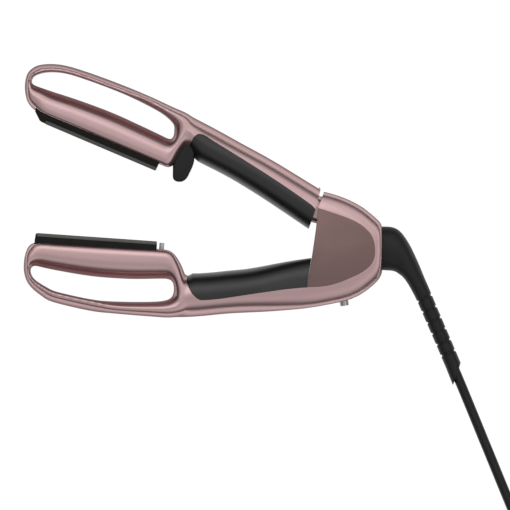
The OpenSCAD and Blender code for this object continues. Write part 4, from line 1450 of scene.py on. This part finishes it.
    def route(self) -> list[Point3]:
        """Middle line of the free lead, from the relief's end to the plug."""
        return self.points + self.coil_points() + self.tail

    def cable(self) -> bpy.types.Object:
        """Free lead as one curve.

        Returns:
            The curve's object.
        """
        route = self.route()
        data = bpy.data.curves.new("mains_cable", "CURVE")
        data.dimensions = "3D"
        data.bevel_depth = SIZES.lead_d / 2 * MM
        data.bevel_resolution = self.cable_round
        data.resolution_u = self.cable_steps
        data.use_fill_caps = True
        spline = data.splines.new("BEZIER")
        spline.bezier_points.add(len(route) - 1)
        for spot, place in zip(spline.bezier_points, route):
            spot.co = Vector(place) * MM
            spot.handle_left_type = spot.handle_right_type = "AUTO"
        thing = bpy.data.objects.new("mains_cable", data)
        bpy.context.scene.collection.objects.link(thing)
        return thing

    def relief_ring(self, row: Sequence[float], groove: float = 0.0) -> list[Point3]:
        """Ring of the relief at a row, with its sides cut in by a groove.

        Args:
            row: Middle, half height, angle, level and half width.
            groove: How deep the groove is at its two sides.

        Returns:
            The points.
        """
        x, y, half_height, angle, level, half_width = row
        turn = math.radians(angle)
        ring = []
        for k in range(self.ring_sides):
            around = math.tau * k / self.ring_sides
            c, s = math.cos(around), math.sin(around)
            cut = groove * (self.groove_least + (1 - self.groove_least) * abs(c))
            out = (half_height - cut) * c
            ring.append((x + out * math.cos(turn), y + out * math.sin(turn), level + (half_width - cut) * s))
        return ring

    def sleeve_at(self, x: float) -> list[float]:
        """Row of the sleeve at a distance from its start."""
        start = self.sleeve[0]
        return [lookup(x, [(math.dist(r[:2], start[:2]), r[k]) for r in self.sleeve]) for k in range(6)]

    def relief(self) -> Clay:
        """Strain relief: smooth foot and a sleeve with grooves.

        Returns:
            The relief, with the neck that seats in the housing.
        """
        rings = [self.relief_ring(r) for r in through(self.foot + self.sleeve[:1])[:-1]]
        for g in range(self.grooves):
            for step, deep in self.groove_steps:
                at = self.groove_start + g * self.groove_pitch + step
                rings.append(self.relief_ring(self.sleeve_at(at), deep * self.groove_d))
        rings += [self.relief_ring(self.sleeve[-1]), self.relief_ring(self.end_cut)]
        neck = Clay().bar((-self.neck_l, 0, 0), (0, 0, 0), SIZES.neck_r).move(LowerArm().on_rear)
        body = Clay().loft(rings)
        body.soften(self.end_bevel, angle=50, where=lambda e: min(v.co.x for v in e.verts) > self.end_x)
        return body.join(neck)

    def tie_form(self, outline: Sequence[Point], start: float, span: float) -> Clay:
        """Part of a ring about the coil's middle.

        Args:
            outline: Its section, as radius and level.
            start: Angle at which it begins.
            span: Angle that it covers.

        Returns:
            The form.
        """
        angles = [math.radians(start + span * k / self.tie_steps) for k in range(self.tie_steps + 1)]
        return Clay().loft([
            [(self.coil_mid[0] + r * math.cos(a), self.coil_mid[1] + r * math.sin(a), z) for r, z in outline]
            for a in angles])

    def ties(self) -> Clay:
        """Two straps round the coil.

        Returns:
            Both straps.
        """
        lo, hi, z0, z1 = self.coil_box
        t = SIZES.tie_t
        inside = rounded_box(lo, hi, z0, z1, self.tie_round)
        outside = rounded_box(lo - t, hi + t, z0 - t, z1 + t, self.tie_round + t)
        straps = Clay()
        for start in self.tie_starts:
            strap = self.tie_form(outside, start, self.tie_span)
            hollow = self.tie_form(inside, start - self.tie_spread, self.tie_span + 2 * self.tie_spread)
            straps.join(carved(strap.soften(self.tie_bevel, segments=2), [hollow]))
        return straps

    @property
    def on_plug(self) -> Matrix:
        """Frame of the plug, with x towards its pins."""
        return Matrix.Translation(self.tail[-1]) @ Matrix.Rotation(math.radians(self.plug_turn), 4, "Z")

    def plug(self) -> Clay:
        """Plug body with a ribbed neck and a waist to grip.

        Returns:
            The body.
        """
        rings = []
        for x, wide, high in self.plug_rows:
            power = lookup(x, self.plug_shape)
            ring = []
            for k in range(self.plug_sides):
                around = math.tau * k / self.plug_sides
                c, s = math.cos(around), math.sin(around)
                ring.append((x, wide * math.copysign(abs(c) ** power, c),
                             high * math.copysign(abs(s) ** power, s)))
            rings.append(ring)
        return Clay().loft(rings).move(self.on_plug)

    def pins(self) -> Clay:
        """Two pins with rounded tips.

        Returns:
            Both pins.
        """
        end = self.plug_l + self.pin_l
        rows = [(self.plug_l - self.pin_root[0], self.pin_root[1])] + [(end - d, r) for d, r in self.pin_tip]
        turns = [math.tau * k / self.pin_sides for k in range(self.pin_sides)]
        pins = Clay()
        for y in (-self.pin_gap / 2, self.pin_gap / 2):
            pins.loft([[(x, y + r * math.cos(a), r * math.sin(a)) for a in turns] for x, r in rows])
        return pins.move(self.on_plug)

    def dress(self, shop: Workshop) -> None:
        """Builds and dresses the lead's pieces, with the free lead as a cord.

        Args:
            shop: The workshop.
        """
        cable = self.cable()
        shop.fit(cable, "lower_arm", "lead_rubber", ["mains_lead", "lead_coil"])
        ties = shop.fit(self.ties().piece("coil_ties"), "lower_arm", "tie_rubber", ["lead_ties"])
        plug = shop.fit(self.plug().piece("moulded_plug"), "lower_arm", "plug_resin", ["plug_body"])
        pins = shop.fit(self.pins().piece("contact_pins"), "lower_arm", "plug_pin", ["plug_pins"])
        shop.fit(self.relief().piece("relief_sleeve"), "lower_arm", "lead_rubber", ["strain_relief"])


def rounded_box(x0: float, x1: float, y0: float, y1: float, r: float, steps: int = 5) -> list[Point]:
    """Outline of a rectangle with rounded corners.

    Args:
        x0: Its left side.
        x1: Its right side.
        y0: Its lower side.
        y1: Its upper side.
        r: Radius of its corners.
        steps: Steps of each corner.

    Returns:
        The outline.
    """
    outline = []
    for i, (cx, cy) in enumerate(((x1 - r, y1 - r), (x0 + r, y1 - r), (x0 + r, y0 + r), (x1 - r, y0 + r))):
        for k in range(steps + 1):
            a = math.pi / 2 * (i + k / steps)
            outline.append((cx + r * math.cos(a), cy + r * math.sin(a)))
    return outline


# Setting


@dataclass
class Setting:
    """Camera, floor and light."""

    # Middle of the view, its width and the camera's height
    centre: Point = (-74.0, -26.1)
    view_w: float = 367.2
    distance: float = 7000.0
    roll: float = 4.0
    # Gain of the sky towards each side, reached at that part of the axis; the last is the even part
    sides: tuple[tuple[str, float, float], ...] = (
        ("Y", 0.7, 0.1), ("Y", -0.8, -0.16), ("X", 0.7, 0.16), ("X", -0.8, -0.4), ("Z", 0.001, 0.86))
    # Dark horizon, bright band above it, and a dimmer zenith
    bands: tuple[tuple[float, float, float, float], ...] = ((0.2, 0.76, 0.02, 1.0), (0.78, 0.99, 1.0, 0.7))
    sensor: float = 36.0
    floor_half: float = 4000.0
    floor_level: float = -0.1
    paper: str = "#F4F3F2"
    # Strength of the floor's own white, and its share of what camera and mirrors see
    glow: float = 1.1
    glow_share: float = 0.9
    lamp_at: Point3 = (-500.0, 900.0, 2600.0)
    lamp_size: float = 1500.0
    lamp_watts: float = 6.0

    def camera(self) -> None:
        """Camera straight above, rolled as the photograph is."""
        data = bpy.data.cameras.new("camera")
        data.sensor_width = self.sensor
        data.lens = self.sensor * self.distance / self.view_w
        thing = bpy.data.objects.new("camera", data)
        thing.location = Vector((*self.centre, SIZES.mid + self.distance)) * MM
        thing.rotation_euler = (0, 0, math.radians(self.roll))
        bpy.context.scene.collection.objects.link(thing)
        bpy.context.scene.camera = thing

    def floor(self) -> None:
        """Pale floor that is white to the camera and keeps a soft shadow."""
        clay = Clay()
        bmesh.ops.create_grid(clay.bm, x_segments=1, y_segments=1, size=self.floor_half)
        thing = clay.move(Matrix.Translation((0, 0, self.floor_level))).piece("floor")
        made = bpy.data.materials.new("pale_paper")
        made.use_nodes = True
        tree = made.node_tree
        tree.nodes.clear()
        paper = add_node(tree, "ShaderNodeBsdfDiffuse", None, {"Color": linear(self.paper)})
        glow = add_node(tree, "ShaderNodeEmission", None, {"Color": (1, 1, 1, 1), "Strength": self.glow})
        path = add_node(tree, "ShaderNodeLightPath").outputs
        seen = path["Is Camera Ray"]
        for ray in ("Is Glossy Ray", "Is Transmission Ray"):
            seen = add_node(tree, "ShaderNodeMath", {"operation": "MAXIMUM"}, {
                0: seen, 1: path[ray]}).outputs[0]
        share = add_node(tree, "ShaderNodeMath", {"operation": "MULTIPLY"}, {0: seen, 1: self.glow_share})
        mix = add_node(tree, "ShaderNodeMixShader", None, {
            "Fac": share.outputs[0], 1: paper.outputs[0], 2: glow.outputs[0]})
        add_node(tree, "ShaderNodeOutputMaterial", None, {"Surface": mix.outputs[0]})
        thing.data.materials.append(made)

    def lamp(self) -> None:
        """Soft square lamp that looks at the object."""
        data = bpy.data.lights.new("overhead", "AREA")
        data.energy = self.lamp_watts
        data.shape = "SQUARE"
        data.size = self.lamp_size * MM
        thing = bpy.data.objects.new("overhead", data)
        thing.location = Vector(self.lamp_at) * MM
        aim = Vector((*self.centre, 0)) * MM - thing.location
        thing.rotation_euler = aim.to_track_quat("-Z", "Y").to_euler()
        bpy.context.scene.collection.objects.link(thing)

    def sky(self) -> None:
        """World with a bright band all round above a dark horizon."""
        world = bpy.data.worlds.new("studio")
        bpy.context.scene.world = world
        world.use_nodes = True
        tree = world.node_tree
        tree.nodes.clear()
        place = add_node(tree, "ShaderNodeTexCoord").outputs["Generated"]
        axes = add_node(tree, "ShaderNodeSeparateXYZ", None, {0: place}).outputs
        strength = 0.0
        for axis, full, gain in self.sides:
            side = add_node(tree, "ShaderNodeMapRange", None, {
                "Value": axes[axis], "From Min": 0.0, "From Max": full, "To Min": 0.0, "To Max": gain})
            strength = add_node(tree, "ShaderNodeMath", {"operation": "ADD"}, {
                0: strength, 1: side.outputs[0]}).outputs[0]
        for low, high, start, end in self.bands:
            band = add_node(tree, "ShaderNodeMapRange", {"interpolation_type": "SMOOTHSTEP"}, {
                "Value": axes["Z"], "From Min": low, "From Max": high, "To Min": start, "To Max": end})
            strength = add_node(tree, "ShaderNodeMath", {"operation": "MULTIPLY"}, {
                0: strength, 1: band.outputs[0]}).outputs[0]
        sky = add_node(tree, "ShaderNodeBackground", None, {"Color": (1, 1, 1, 1), "Strength": strength})
        add_node(tree, "ShaderNodeOutputWorld", None, {"Surface": sky.outputs[0]})


def main() -> None:
    """Builds the scene."""
    logging.basicConfig(level=logging.INFO, format="%(name)s: %(message)s")
    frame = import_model()
    record = frame["record"]
    slots = {part["node"]: part["material_slot"] for part in record["subparts"]}
    shop = Workshop(slots)
    bpy.context.scene.view_settings.view_transform = "Standard"
    setting = Setting()
    setting.camera()
    for assembly in (Lead(), LowerArm(), UpperArm(), Plates()):
        assembly.dress(shop)
    shop.carry_over(frame["nodes"])

    setting.floor()
    setting.sky()
    setting.lamp()


if __name__ == "__main__":
    main()
